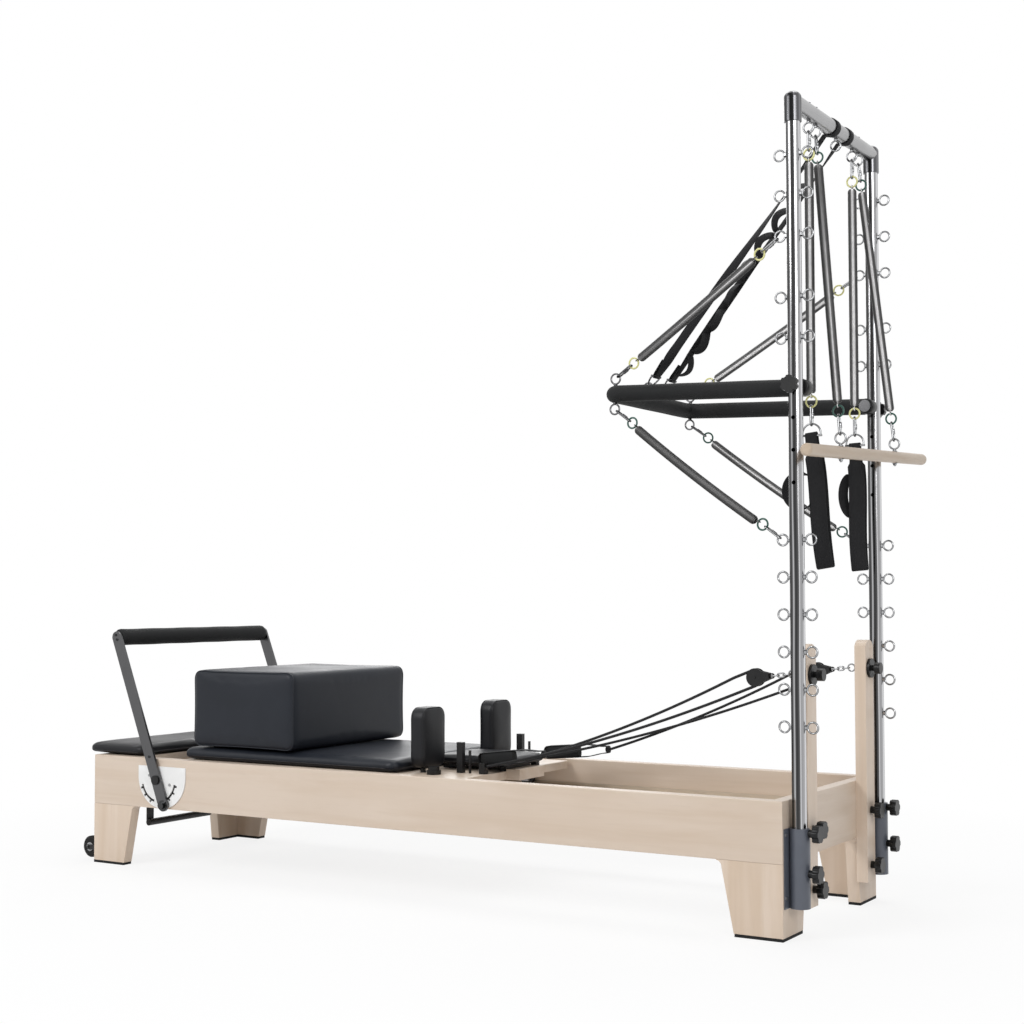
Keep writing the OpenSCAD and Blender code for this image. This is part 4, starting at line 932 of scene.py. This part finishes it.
def puff(obj, voxel, cap, pressure):
    """Lets the filled cover swell: remesh, a short cloth simulation, and a limit on how far a point moves."""
    remesh = obj.modifiers.new("remesh", "REMESH")
    remesh.mode = "VOXEL"
    remesh.voxel_size = voxel
    bpy.context.view_layer.objects.active = obj
    with bpy.context.temp_override(object=obj, active_object=obj, selected_objects=[obj]):
        bpy.ops.object.modifier_apply(modifier=remesh.name)
    rest = points_of(obj.data)
    cloth = obj.modifiers.new("cover", "CLOTH")
    for key, value in CLOTH.items():
        setattr(cloth.settings, key, value)
    cloth.settings.uniform_pressure_force = pressure
    cloth.settings.effector_weights.gravity = 0
    cloth.collision_settings.use_collision = False
    cloth.point_cache.frame_start, cloth.point_cache.frame_end = 1, CLOTH_FRAMES
    for f in range(1, CLOTH_FRAMES + 1):
        scene.frame_set(f)
    swollen = obj.evaluated_get(bpy.context.evaluated_depsgraph_get()).data
    move = points_of(swollen) - rest
    obj.modifiers.remove(cloth)
    scene.frame_set(1)
    far = np.linalg.norm(move, axis=1)
    move *= (cap * np.tanh(far / cap) / np.maximum(far, 1e-9))[:, None]
    set_points(obj.data, rest + move)


def settle(obj, lo, hi):
    """Scales the swollen cover back into its own box."""
    co = points_of(obj.data)
    a, b = co.min(0), co.max(0)
    set_points(obj.data, np.asarray(lo) + (co - a) / (b - a) * (np.asarray(hi) - np.asarray(lo)))


def transform(obj, origin, x, y, z):
    m = Matrix(((*x, 0), (*y, 0), (*z, 0), (0, 0, 0, 1))).transposed()
    m.translation = origin
    obj.data.transform(m)
    obj.data.update()


def seam(cushion, path, radius, name, material, body, lift=0.3):
    """Stitched line or sewn piping that follows the cushion's own surface."""
    mesh = cushion.data
    tree = BVHTree.FromPolygons([v.co for v in mesh.vertices], [p.vertices for p in mesh.polygons])
    pts = []
    for p in path:
        where, normal, _, _ = tree.find_nearest(Vector(p))
        pts.append(np.array(where) + np.array(normal) * radius * lift)
    for _ in range(2):
        pts = 0.25 * np.roll(pts, 1, 0) + 0.5 * np.array(pts) + 0.25 * np.roll(pts, -1, 0)
    b = Build()
    b.tube(pts, radius, (0.31, 0.17, 0.93), 8, closed=True)
    obj = b.piece(name, material)
    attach(obj, body)


UPRIGHT = ((1, 0, 0), (0, 1, 0), (0, 0, 1))


def pad(name, node, body, material, form, solid=None, axes=UPRIGHT, pressure=3.0):
    """Cushion in the box of its CAD node, built along local axes and swollen like a filled cover."""
    lo, hi = (np.array(c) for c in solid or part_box(node))
    ax, ay, az = (np.array(a, float) for a in axes)
    w, d, h = (abs((hi - lo) @ a) for a in (ax, ay, az))
    obj = make(name, *pad_mesh(w, d, h, form), [material])
    puff(obj, form.voxel, form.cap, pressure)
    settle(obj, (-w / 2, -d / 2, 0), (w / 2, d / 2, h))
    base = (lo + hi) / 2 - az * h / 2
    transform(obj, base, ax, ay, az)
    finer = obj.modifiers.new("finer", "SUBSURF")
    finer.levels = finer.render_levels = 1
    obj.data.polygons.foreach_set("use_smooth", [True] * len(obj.data.polygons))
    dress(obj, body, node)

    def around(level, in_by=0, count=160):
        """Points round the cushion at a height above its low side, in by in_by from its outline."""
        q = inset(outline_points(w, d, form.corner, form.pull, count), in_by)
        return [base + ax * x + ay * y + az * level for x, y in q]

    return obj, h, around


def make_cushions():
    seat, _, around = pad("seat_cushion", "carriage_pad", "carriage", seat_vinyl, SEAT)
    seam(seat, around(level=0.013), 0.0011, "seat_seam", thread, "carriage")
    platform, _, around = pad("platform_cushion", "foot_platform_pad", "frame", dark_vinyl, PLATFORM)
    seam(platform, around(level=0.012), 0.0011, "platform_seam", thread, "frame")
    on_side, on_end = ((1, 0, 0), (0, 0, 1), (0, -1, 0)), ((0, 1, 0), (0, 0, 1), (1, 0, 0))
    box, h, around = pad("box_cushion", "sitting_box", "box", seat_vinyl, BOX, axes=on_side, pressure=1.0)
    for k, level in enumerate((0.013, h - 0.013)):
        path = around(level, in_by=0.001, count=220)
        seam(box, path, 0.0022, "box_piping_%d" % (k + 1), seat_vinyl, "box", lift=0.25)
    head, _, around = pad("headrest_cushion", "headrest", "head_pad", dark_vinyl, HEADREST)
    seam(head, around(level=0.011), 0.0010, "headrest_seam", thread, "head_pad")
    lo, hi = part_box("shoulder_rests")
    for (_, who), y0, y1 in zip(SIDES, (lo[1], hi[1] - SHOULDER_W), (lo[1] + SHOULDER_W, hi[1])):
        solid = ((lo[0], y0, lo[2]), (hi[0], y1, hi[2]))
        name = "shoulder_rest_" + who
        rest, h, around = pad(name, "shoulder_rests", "carriage", dark_vinyl, SHOULDER, solid, on_end)
        for j, level in enumerate((0.010, h - 0.010)):
            name = "shoulder_piping_%s_%d" % (who, j + 1)
            seam(rest, around(level, in_by=0.001), 0.0016, name, dark_vinyl, "carriage")


# Webbing: foot loops, safety straps and rope handles

STITCH, STITCH_R = 0.0042, 0.0005


def stitched(build, path, width, across, lift):
    """A row of short stitches along a path, raised by lift."""
    p = np.asarray(path, float)
    far = lengths(p)
    rows = frames(p, across)
    for i in range(int(far[-1] / STITCH)):
        ends = []
        for t in ((i + 0.15) * STITCH, (i + 0.75) * STITCH):
            _, side, up = rows[min(int(np.searchsorted(far, t)), len(p) - 1)]
            ends.append(resampled(p, far, t) + side * width + up * lift)
        build.tube([ends[0], (ends[0] + ends[1]) / 2, ends[1]], STITCH_R, up, 4, slot=1)


def turned(points, lean, pivot):
    """Turns points about an axis along Y through the pivot, their foot going towards +X."""
    p = np.asarray(points, float) - pivot
    c, s = math.cos(lean), math.sin(lean)
    out = p.copy()
    out[:, 0] = p[:, 0] * c - p[:, 2] * s
    out[:, 2] = p[:, 0] * s + p[:, 2] * c
    return out + pivot


BAR_CLEAR = 0.0034
FOOT_LOOP_L, FOOT_LOOP_W, FOOT_LOOP_T = 0.352, 0.0455, 0.0030
LOOP_EDGE, SEWN_EDGE = 0.022, -0.020
CRESCENT_R, CRESCENT_W, CRESCENT_DOWN = 0.0425, 0.0285, 0.140


def make_foot_loops():
    """Each loop hangs from the bar of its D-ring, and a crescent of webbing stands out from its edge."""
    for y, who, lean_deg, out, tall, turn in (
            (LOOP_Y[0], "near", 6, 0.066, 0.046, 0.55), (LOOP_Y[1], "far", 2, 0.020, 0.070, 0.85)):
        lean = math.radians(lean_deg)
        bar = np.array((POLE_X, y, LOOP_HOOK_Z - HOOK_L + LINK - DEE_R - DEE_LEG))
        half = BAR_CLEAR + FOOT_LOOP_T / 2 + LOOP_EDGE * math.sin(lean)
        wave = np.linspace(0, 1, 40)
        drop = half + (FOOT_LOOP_L - 2 * half - 0.004) * wave
        gap = half + 0.0035 * np.sin(math.pi * wave) ** 0.8
        front = [(0, -g, -d) for g, d in zip(gap, drop)]
        back = [(0, g, -d) for g, d in zip(gap, drop)]
        top = [(0, half * math.cos(a), half * math.sin(a)) for a in inner_angles()]
        foot = [(0, -half * math.cos(a), -drop[-1] - half * 0.9 * math.sin(a)) for a in inner_angles()]
        pts = np.array(back[::-1] + top + front + foot) + bar
        depth = bar[2] - pts[:, 2]
        pts[:, 0] += 0.003 * np.sin(depth * 17) * smooth(depth / 0.1)
        wide = 0.70 + 0.30 * smooth((depth - 0.046) / 0.012)
        pts = turned(pts, lean, bar)
        b = Build()
        across = (math.cos(lean), 0, math.sin(lean))
        widths = np.stack([wide, np.ones(len(pts))], 1)
        b.ribbon(pts, FOOT_LOOP_W, FOOT_LOOP_T, across, widths, closed=True)
        sewn = pts[(0.045 < depth) & (depth < 0.085) & (pts[:, 1] < y)]
        for off in (-0.016, 0.016):
            for lift in (0.0017, -0.0017):
                stitched(b, sewn, off, (1, 0, 0), lift)
        middle = LOOP_EDGE - out
        edge = math.degrees(math.acos((SEWN_EDGE - middle) / CRESCENT_R))
        centre = bar + np.array((middle, 0, -CRESCENT_DOWN))
        bow = arc(centre, (1, 0, 0), (0, 0, tall / CRESCENT_R), CRESCENT_R, edge, 360 - edge, 40)
        twist = turn * np.sin(np.linspace(0, math.pi, len(bow))) ** 0.6
        b.ribbon(turned(bow, lean, bar), CRESCENT_W, FOOT_LOOP_T, (0, 1, 0), twist=twist)
        obj = b.piece("foot_loop_" + who, black_webbing, thread)
        dress(obj, "loop_" + who, "loop_strap_" + who)


STRAP_T = 0.0026
DAISY_LOOPS, DAISY_PITCH, DAISY_RUN, DAISY_OUT = 8, 0.083, 0.072, 0.029
STRAP_CUT = 0.032

# Each strap's name, y and width, and where it turns about its own length: share of the way up, and degrees
STRAPS = (
    ("flat", -0.022, 0.0270, (0, 0.03, 0.11, 0.42, 0.92), (0, 0, -90, -90, -180)),
    ("daisy", 0.080, 0.0255, (0, 0.06, 0.30, 0.52, 0.80, 1.0), (0, -4, -58, -118, -132, -180)),
)


def make_safety_straps():
    run_up = HOOK_AT + DEE_R + DEE_LEG
    fold = BAR_CLEAR + STRAP_T / 2
    wrap = CROSSBAR_R + GAP + STRAP_T / 2 + 0.0004
    for name, y, width, shares, degrees in STRAPS:
        low_eye, top = push_point(-PUSH_L, y, EYE_UP), np.array((POLE_X, y, STRAP_TOP_Z))
        place = along(low_eye, top)
        _, ax, ay, az = place
        run = np.linalg.norm(top - low_eye)
        start, stop = run_up + 0.010, run - wrap - 0.004

        def lie_at(s):
            t = (s - run_up) / (stop - run_up) + np.linspace(-0.04, 0.04, 9)
            return math.radians(float(np.mean(np.interp(t, shares, degrees))))

        def spot(s, out=0.0, aside=0.0):
            """Point at s along the strap, out from its face and aside on it as it lies there."""
            c, q = math.cos(lie_at(s)), math.sin(lie_at(s))
            return at(place, 0, 0, s) + (ax * c + ay * q) * out + (ay * c - ax * q) * aside

        tail = [start + 0.040 * (1 - t) for t in np.linspace(0, 1, 14)]
        back = [spot(s, -fold - 0.0006) for s in tail]
        under = np.linspace(math.pi * 1.1, -math.pi * 0.02, 14)
        turn = [at(place, fold * math.cos(t), 0, run_up - fold * math.sin(t)) for t in under]
        t = np.linspace(0, 1, 110)
        steps = start + (stop - start) * t
        rise = fold * (1 - smooth(t * 7)) + 0.003 * np.sin(7 * t) * smooth(3 * t)
        up = [spot(s, r) for s, r in zip(steps, rise)]
        over = np.linspace(0.3, 2 * math.pi - 0.15, 36)
        round_bar = [at(place, wrap * math.sin(t), 0, run - wrap * math.cos(t)) for t in over]
        twist = [-lie_at(s) for s in tail] + [0] * len(turn) + [lie_at(s) for s in steps]
        twist += [-math.pi] * len(over)
        b = Build()
        b.ribbon(back + turn + up + round_bar, width, STRAP_T, (0, 1, 0), twist=twist)
        if name == "daisy":
            for i in range(DAISY_LOOPS):
                low = run_up + 0.020 + i * DAISY_PITCH
                shares_up = np.linspace(0, 1, 26)
                bow = [spot(low + DAISY_RUN * u, DAISY_OUT * math.sin(math.pi * u) ** 0.7) for u in shares_up]
                lies = [lie_at(low + DAISY_RUN * u) for u in shares_up]
                b.ribbon(bow, width * 0.94, 0.0024, (0, 1, 0), twist=lies)
                for u in (0.03, 0.97):
                    tack = [spot(low + DAISY_RUN * u, 0.0030, k * width * 0.46) for k in (-1, 0, 1)]
                    b.tube(tack, 0.0008, tuple(az), 5, slot=1)
        for k in (-0.40, 0.40):
            line = [spot(s, -fold - 0.0021, width * k) for s in start + 0.004 + np.linspace(0, STRAP_CUT, 12)]
            stitched(b, line, 0, (0, 1, 0), 0)
        obj = b.piece("safety_strap_" + name, black_webbing, thread)
        tuple(at(place, 0, 0, run_up))
        tuple(at(place, 0, 0, run - 0.03))
        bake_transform(obj)
        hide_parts("safety_strap")


# Slots of the white plates: black sheets in them as painted shade

PIVOT = (-0.939, 0.2836)
SLOT_R, SLOT_HALF = 0.070, 0.0037
SLOT_SPANS = ((195, 255), (301, 349))
NOTCHES = (202, 222, 244, 308, 328, 346)
NOTCH = ((0.0743, -0.0031), (0.0807, -0.0031), (0.0807, 0.0031), (0.0743, 0.0031))
SHADE_SHEET_Y = (0.3501, 0.3506)


def make_slot_shade_sheets():
    """Black sheets at the bottom of the notched slots in the two white plates, lying on the rails: painted
    shade in the slots.
    """
    b = Build()

    def around_pivot(r, a, aside=0.0):
        c, s = math.cos(a), math.sin(a)
        return PIVOT[0] + r * c - s * aside, PIVOT[1] + r * s + c * aside

    def prism(outline, side):
        n = len(outline)
        base = len(b.verts)
        verts = [(x, side * y, z) for y in SHADE_SHEET_Y for x, z in outline]
        faces = [list(range(n)), list(range(2 * n - 1, n - 1, -1))]
        faces += [(k, k + n, (k + 1) % n + n, (k + 1) % n) for k in range(n)]
        b.add((verts, [[base + i for i in f] for f in faces], [(0, 0)] * (6 * n)))

    for side in (-1, 1):
        for ends in SLOT_SPANS:
            sweep = np.radians(np.linspace(*ends, 16))
            inner, outer = ([around_pivot(SLOT_R + k * SLOT_HALF, a) for a in sweep] for k in (-1, 1))
            prism(inner + outer[::-1], side)
        for a in np.radians(NOTCHES):
            prism([around_pivot(r, a, w) for r, w in NOTCH], side)
    obj = b.piece("slot_shade_sheets", black_plastic)
    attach(obj, "frame")


# Ropes and their handles

RUN_ANGLE = math.radians(21.5)
FAR_KNOT = np.array((0.410, 0.170, 0.402))
NEAR_KNOT = np.array((0.360, -0.130, 0.410))
SHEAVE_X, SHEAVE_Y, SHEAVE_Z = 1.05346, 0.222, 0.65233
ROPE_HALF = 0.004
ROPE_R = 0.016 + ROPE_HALF + GAP
CLEAT_END, CLEAT_Z = 0.180 + GAP, 0.353 + 0.016
BLOCK_OUT = 0.060


def on_sheave(y, a, out):
    """Point of the rope at angle a on its sheave, moved out along the run towards the carriage."""
    return np.array((
        SHEAVE_X + ROPE_R * math.cos(a) - out * math.cos(RUN_ANGLE), y,
        SHEAVE_Z + ROPE_R * math.sin(a) - out * math.sin(RUN_ANGLE),
    ))


def sagging(a, b, sag, count):
    pts = []
    for t in np.linspace(0, 1, count):
        p = a + (b - a) * t
        p[2] -= sag * 4 * t * (1 - t)
        pts.append(p)
    return pts


def make_ropes():
    for (side, who), knot, cleat_y in zip(SIDES, (NEAR_KNOT, FAR_KNOT), (-0.165, 0.130)):
        y = side * SHEAVE_Y
        up = math.pi / 2 + RUN_ANGLE
        upper, lower = on_sheave(y, up, BLOCK_OUT), on_sheave(y, up - math.pi, BLOCK_OUT)
        start = np.array((CLEAT_END, cleat_y, CLEAT_Z))
        pts = sagging(knot, upper, sag=0.014, count=24)
        pts += [on_sheave(y, up - math.radians(k * 7.5), 0) for k in range(25)]
        pts += sagging(lower, start + (0.024, 0, 0.004), sag=0.018, count=26)
        pts += [start + (0.008, 0, 0), start]
        path = spaced(pts, 0.008)
        b = Build()
        b.tube(path, ROPE_HALF - 0.0001, (0, 1, 0), 12)
        obj = b.piece("rope_line_" + who, black_rope)
        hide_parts("rope_" + who)
        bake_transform(obj)


HANDLE_STRAP_L, HANDLE_KNOT_L, HANDLE_GRIP_L = 0.215, 0.010, 0.122
STRAP_HALF_LOW, STRAP_HALF = 0.0100, 0.0185
GRIP_HALVES = (0.0135, 0.0208)


def make_handles():
    """A flattened loop of webbing through a foam grip, from the knot of its rope towards the foot end."""
    for who, knot, lean_deg in (("near", NEAR_KNOT, -7), ("far", FAR_KNOT, -5)):
        lean = math.radians(lean_deg)
        x = np.array((math.cos(lean), 0, -math.sin(lean)))
        z = np.array((math.sin(lean), 0, math.cos(lean)))
        y = np.array((0, 1.0, 0))
        place = (knot, x, y, z)
        knot_end = -(ROPE_HALF * math.sin(RUN_ANGLE + lean) + GAP)
        loop_end = knot_end - HANDLE_KNOT_L
        knot_mid = knot_end - HANDLE_KNOT_L / 2
        tip = loop_end - GAP - HANDLE_STRAP_L
        grip, turn_at = tip + HANDLE_GRIP_L, tip + 0.014
        b = Build()
        profile = [(loop_end, 0.0050), (loop_end + 0.0015, 0.0078), (knot_mid, 0.0086),
                   (knot_end - 0.0015, 0.0078), (knot_end, 0.0052)]
        b.lathe(profile, knot, x, 20, 2)
        for aside in (-0.0027, 0.0027):
            ring = ring_path(at(place, knot_mid + aside, 0, 0), y, z, 0.0066, 20)
            b.tube(ring, 0.0026, tuple(x), 8, closed=True, slot=2)
        loop = []
        for s in np.linspace(loop_end + 0.004, grip, 14):
            t = (loop_end - s) / (loop_end - grip)
            loop.append((s, STRAP_HALF_LOW + (STRAP_HALF - STRAP_HALF_LOW) * smooth(t * 1.3)))
        loop += [(s, STRAP_HALF) for s in np.linspace(grip, turn_at, 14)[1:]]
        ring = loop + [(turn_at - 0.0125 * math.sin(a), STRAP_HALF * math.cos(a)) for a in inner_angles()]
        ring += [(s, -h) for s, h in loop[::-1]]
        ring += [(loop_end + 0.006 + 0.002 * math.cos(a), STRAP_HALF_LOW * math.sin(a))
                 for a in np.linspace(-1.1, 1.1, 7)]
        b.ribbon([at(place, s, 0, h) for s, h in ring], 0.0250, STRAP_T, y, closed=True)
        outline = []
        for a in np.linspace(0, 2 * math.pi, 28, endpoint=False):
            c, q = (math.copysign(abs(k) ** 0.7, k) for k in (math.cos(a), math.sin(a)))
            outline.append((GRIP_HALVES[0] * c, GRIP_HALVES[1] * q, a / (2 * math.pi)))
        swell = np.array([0.86 + 0.14 * smooth(min(t, 1 - t) * 12) for t in np.linspace(0, 1, 30)])
        line = [at(place, s, 0, 0) for s in np.linspace(grip, tip + 0.012, 30)]
        b.sweep(line, outline, y, widths=swell, slot=1)
        for s in (grip - 0.004, grip - 0.009):
            for h in (-1, 1):
                tack = [at(place, s, k * 0.011, h * (STRAP_HALF + 0.0014)) for k in (-1, 0, 1)]
                b.tube(tack, 0.0006, tuple(z), 5, slot=2)
        obj = b.piece("rope_handle_" + who, black_webbing, black_foam, black_rope)
        dress(obj, "carriage", "handles")


# Foam sleeves


def make_footbar_sleeve():
    lo, hi = (np.array(c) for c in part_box("footbar_grip"))
    f, r = (hi[1] - lo[1]) / 2 - 0.0005, (hi[2] - lo[2]) / 2
    end = [(-f, 0.0150), (-f + 0.0022, 0.0150), (-f + 0.0024, r - 0.008), (-f + 0.004, r - 0.0035),
           (-f + 0.008, r - 0.0008), (-f + 0.014, r)]
    profile = end + [(s, r - 0.0004 * (1 + math.sin(s * 37))) for s in np.linspace(-f + 0.04, f - 0.04, 30)]
    profile += [(-s, q) for s, q in end[::-1]]
    b = Build()
    b.lathe(profile, (lo + hi) / 2, (0, 1, 0), 48)
    dress(b.piece("footbar_sleeve", black_foam), "footbar", "footbar_grip")


def make_push_bar_sleeve():
    k = PUSH_L - PUSH_BEND
    arm = [(-s, -PUSH_Y) for s in np.linspace(0.0, k, 60)]
    for a in np.linspace(0, math.pi / 2, 14)[1:]:
        arm.append((-k - PUSH_BEND * math.sin(a), -PUSH_Y + PUSH_BEND * (1 - math.cos(a))))
    cross = [(-PUSH_L, y) for y in np.linspace(-PUSH_Y + PUSH_BEND, PUSH_Y - PUSH_BEND, 50)[1:-1]]
    path = np.array([push_point(x, y, 0) for x, y in arm + cross + [(x, -y) for x, y in arm[::-1]]])
    far = lengths(path)
    swell = 1 - 0.006 * (1 + np.sin(far * 31))
    swell *= 1 - 0.16 * np.clip(1 - np.minimum(far, far[-1] - far) / 0.004, 0, 1)
    b = Build()
    b.tube(path, PUSH_R, (0, 0, 1), 32, widths=swell)
    w, q = (2 * PUSH_R - 0.006) / 2, PUSH_R - 0.001
    end = [(-w, q - 0.003), (-w + 0.001, q - 0.001), (-w + 0.003, q)]
    barrel = end + [(-s, r) for s, r in end[::-1]]
    for side in (-1, 1):
        b.lathe(barrel, (POLE_X, side * PUSH_Y, PUSH_Z), (0, 1, 0), 40, 1)
    dress(b.piece("push_bar_sleeve", black_foam, black_plastic), "push_bar", "pushbar_frame")


# Studio

LAMPS = (
    ("key", (-2.2, -5.2, 4.2), (0, 0, 0.5), (2.6, 2.6), 190),
    ("fill", (4.6, -3.0, 2.8), (0.2, 0, 0.8), (2.2, 2.2), 70),
    ("top", (0.2, 1.0, 5.2), (0, 0, 0.4), (3.6, 2.4), 90),
    ("back", (-3.0, 4.5, 2.8), (0, 0, 0.8), (2.4, 2.4), 45),
)
FLOOR_HALF = 30.0


def make_lamp(name, place, target, size, power):
    data = bpy.data.lights.new(name, "AREA")
    data.shape = "RECTANGLE"
    data.size, data.size_y = size
    data.energy = power
    lamp = bpy.data.objects.new(name, data)
    lamp.location = place
    lamp.rotation_mode = "QUATERNION"
    lamp.rotation_quaternion = (Vector(target) - Vector(place)).to_track_quat("-Z", "Y")
    scene.collection.objects.link(lamp)


def make_studio():
    """White to the camera and in shiny surfaces, with plain light and a soft shadow on the floor."""
    scene.view_settings.view_transform = "Standard"
    scene.world = bpy.data.worlds.new("studio")
    n = Nodes(scene.world)
    lit = n.node("Background", {"Color": (0.97, 0.98, 1.0), "Strength": 0.40})
    seen = n.node("Background", {"Color": (1, 1, 1), "Strength": 1.0})
    mix = n.node("MixShader", {0: n.seen_directly(), 1: lit.outputs[0], 2: seen.outputs[0]})
    n.node("OutputWorld", {"Surface": mix.outputs[0]})

    floor = bpy.data.materials.new("studio_floor")
    n = Nodes(floor)
    matt = n.node("BsdfDiffuse", {"Color": (0.90, 0.90, 0.90)})
    glow = n.node("Emission", {"Color": (1, 1, 1), "Strength": 1.0})
    where = n.node("NewGeometry").outputs["Position"]
    far = n.node("VectorMath", {0: where}, operation="LENGTH").outputs["Value"]
    share = n.math("MULTIPLY", n.seen_directly(), n.span(far, 1.3, 2.6, 0.84, 1.0))
    mix = n.node("MixShader", {0: share, 1: matt.outputs[0], 2: glow.outputs[0]})
    n.node("OutputMaterial", {"Surface": mix.outputs[0]})
    s = FLOOR_HALF
    corners = [(-s, -s, 0), (s, -s, 0), (s, s, 0), (-s, s, 0)]
    make("studio_ground", corners, [(0, 1, 2, 3)], [floor], shaded=False)
    for lamp in LAMPS:
        make_lamp(*lamp)


make_camera()
make_ropes()
make_handles()
make_springs()
make_foot_loops()
make_safety_straps()
make_slot_shade_sheets()
make_footbar_sleeve()
make_push_bar_sleeve()
make_cushions()
dress_cad()
make_studio()
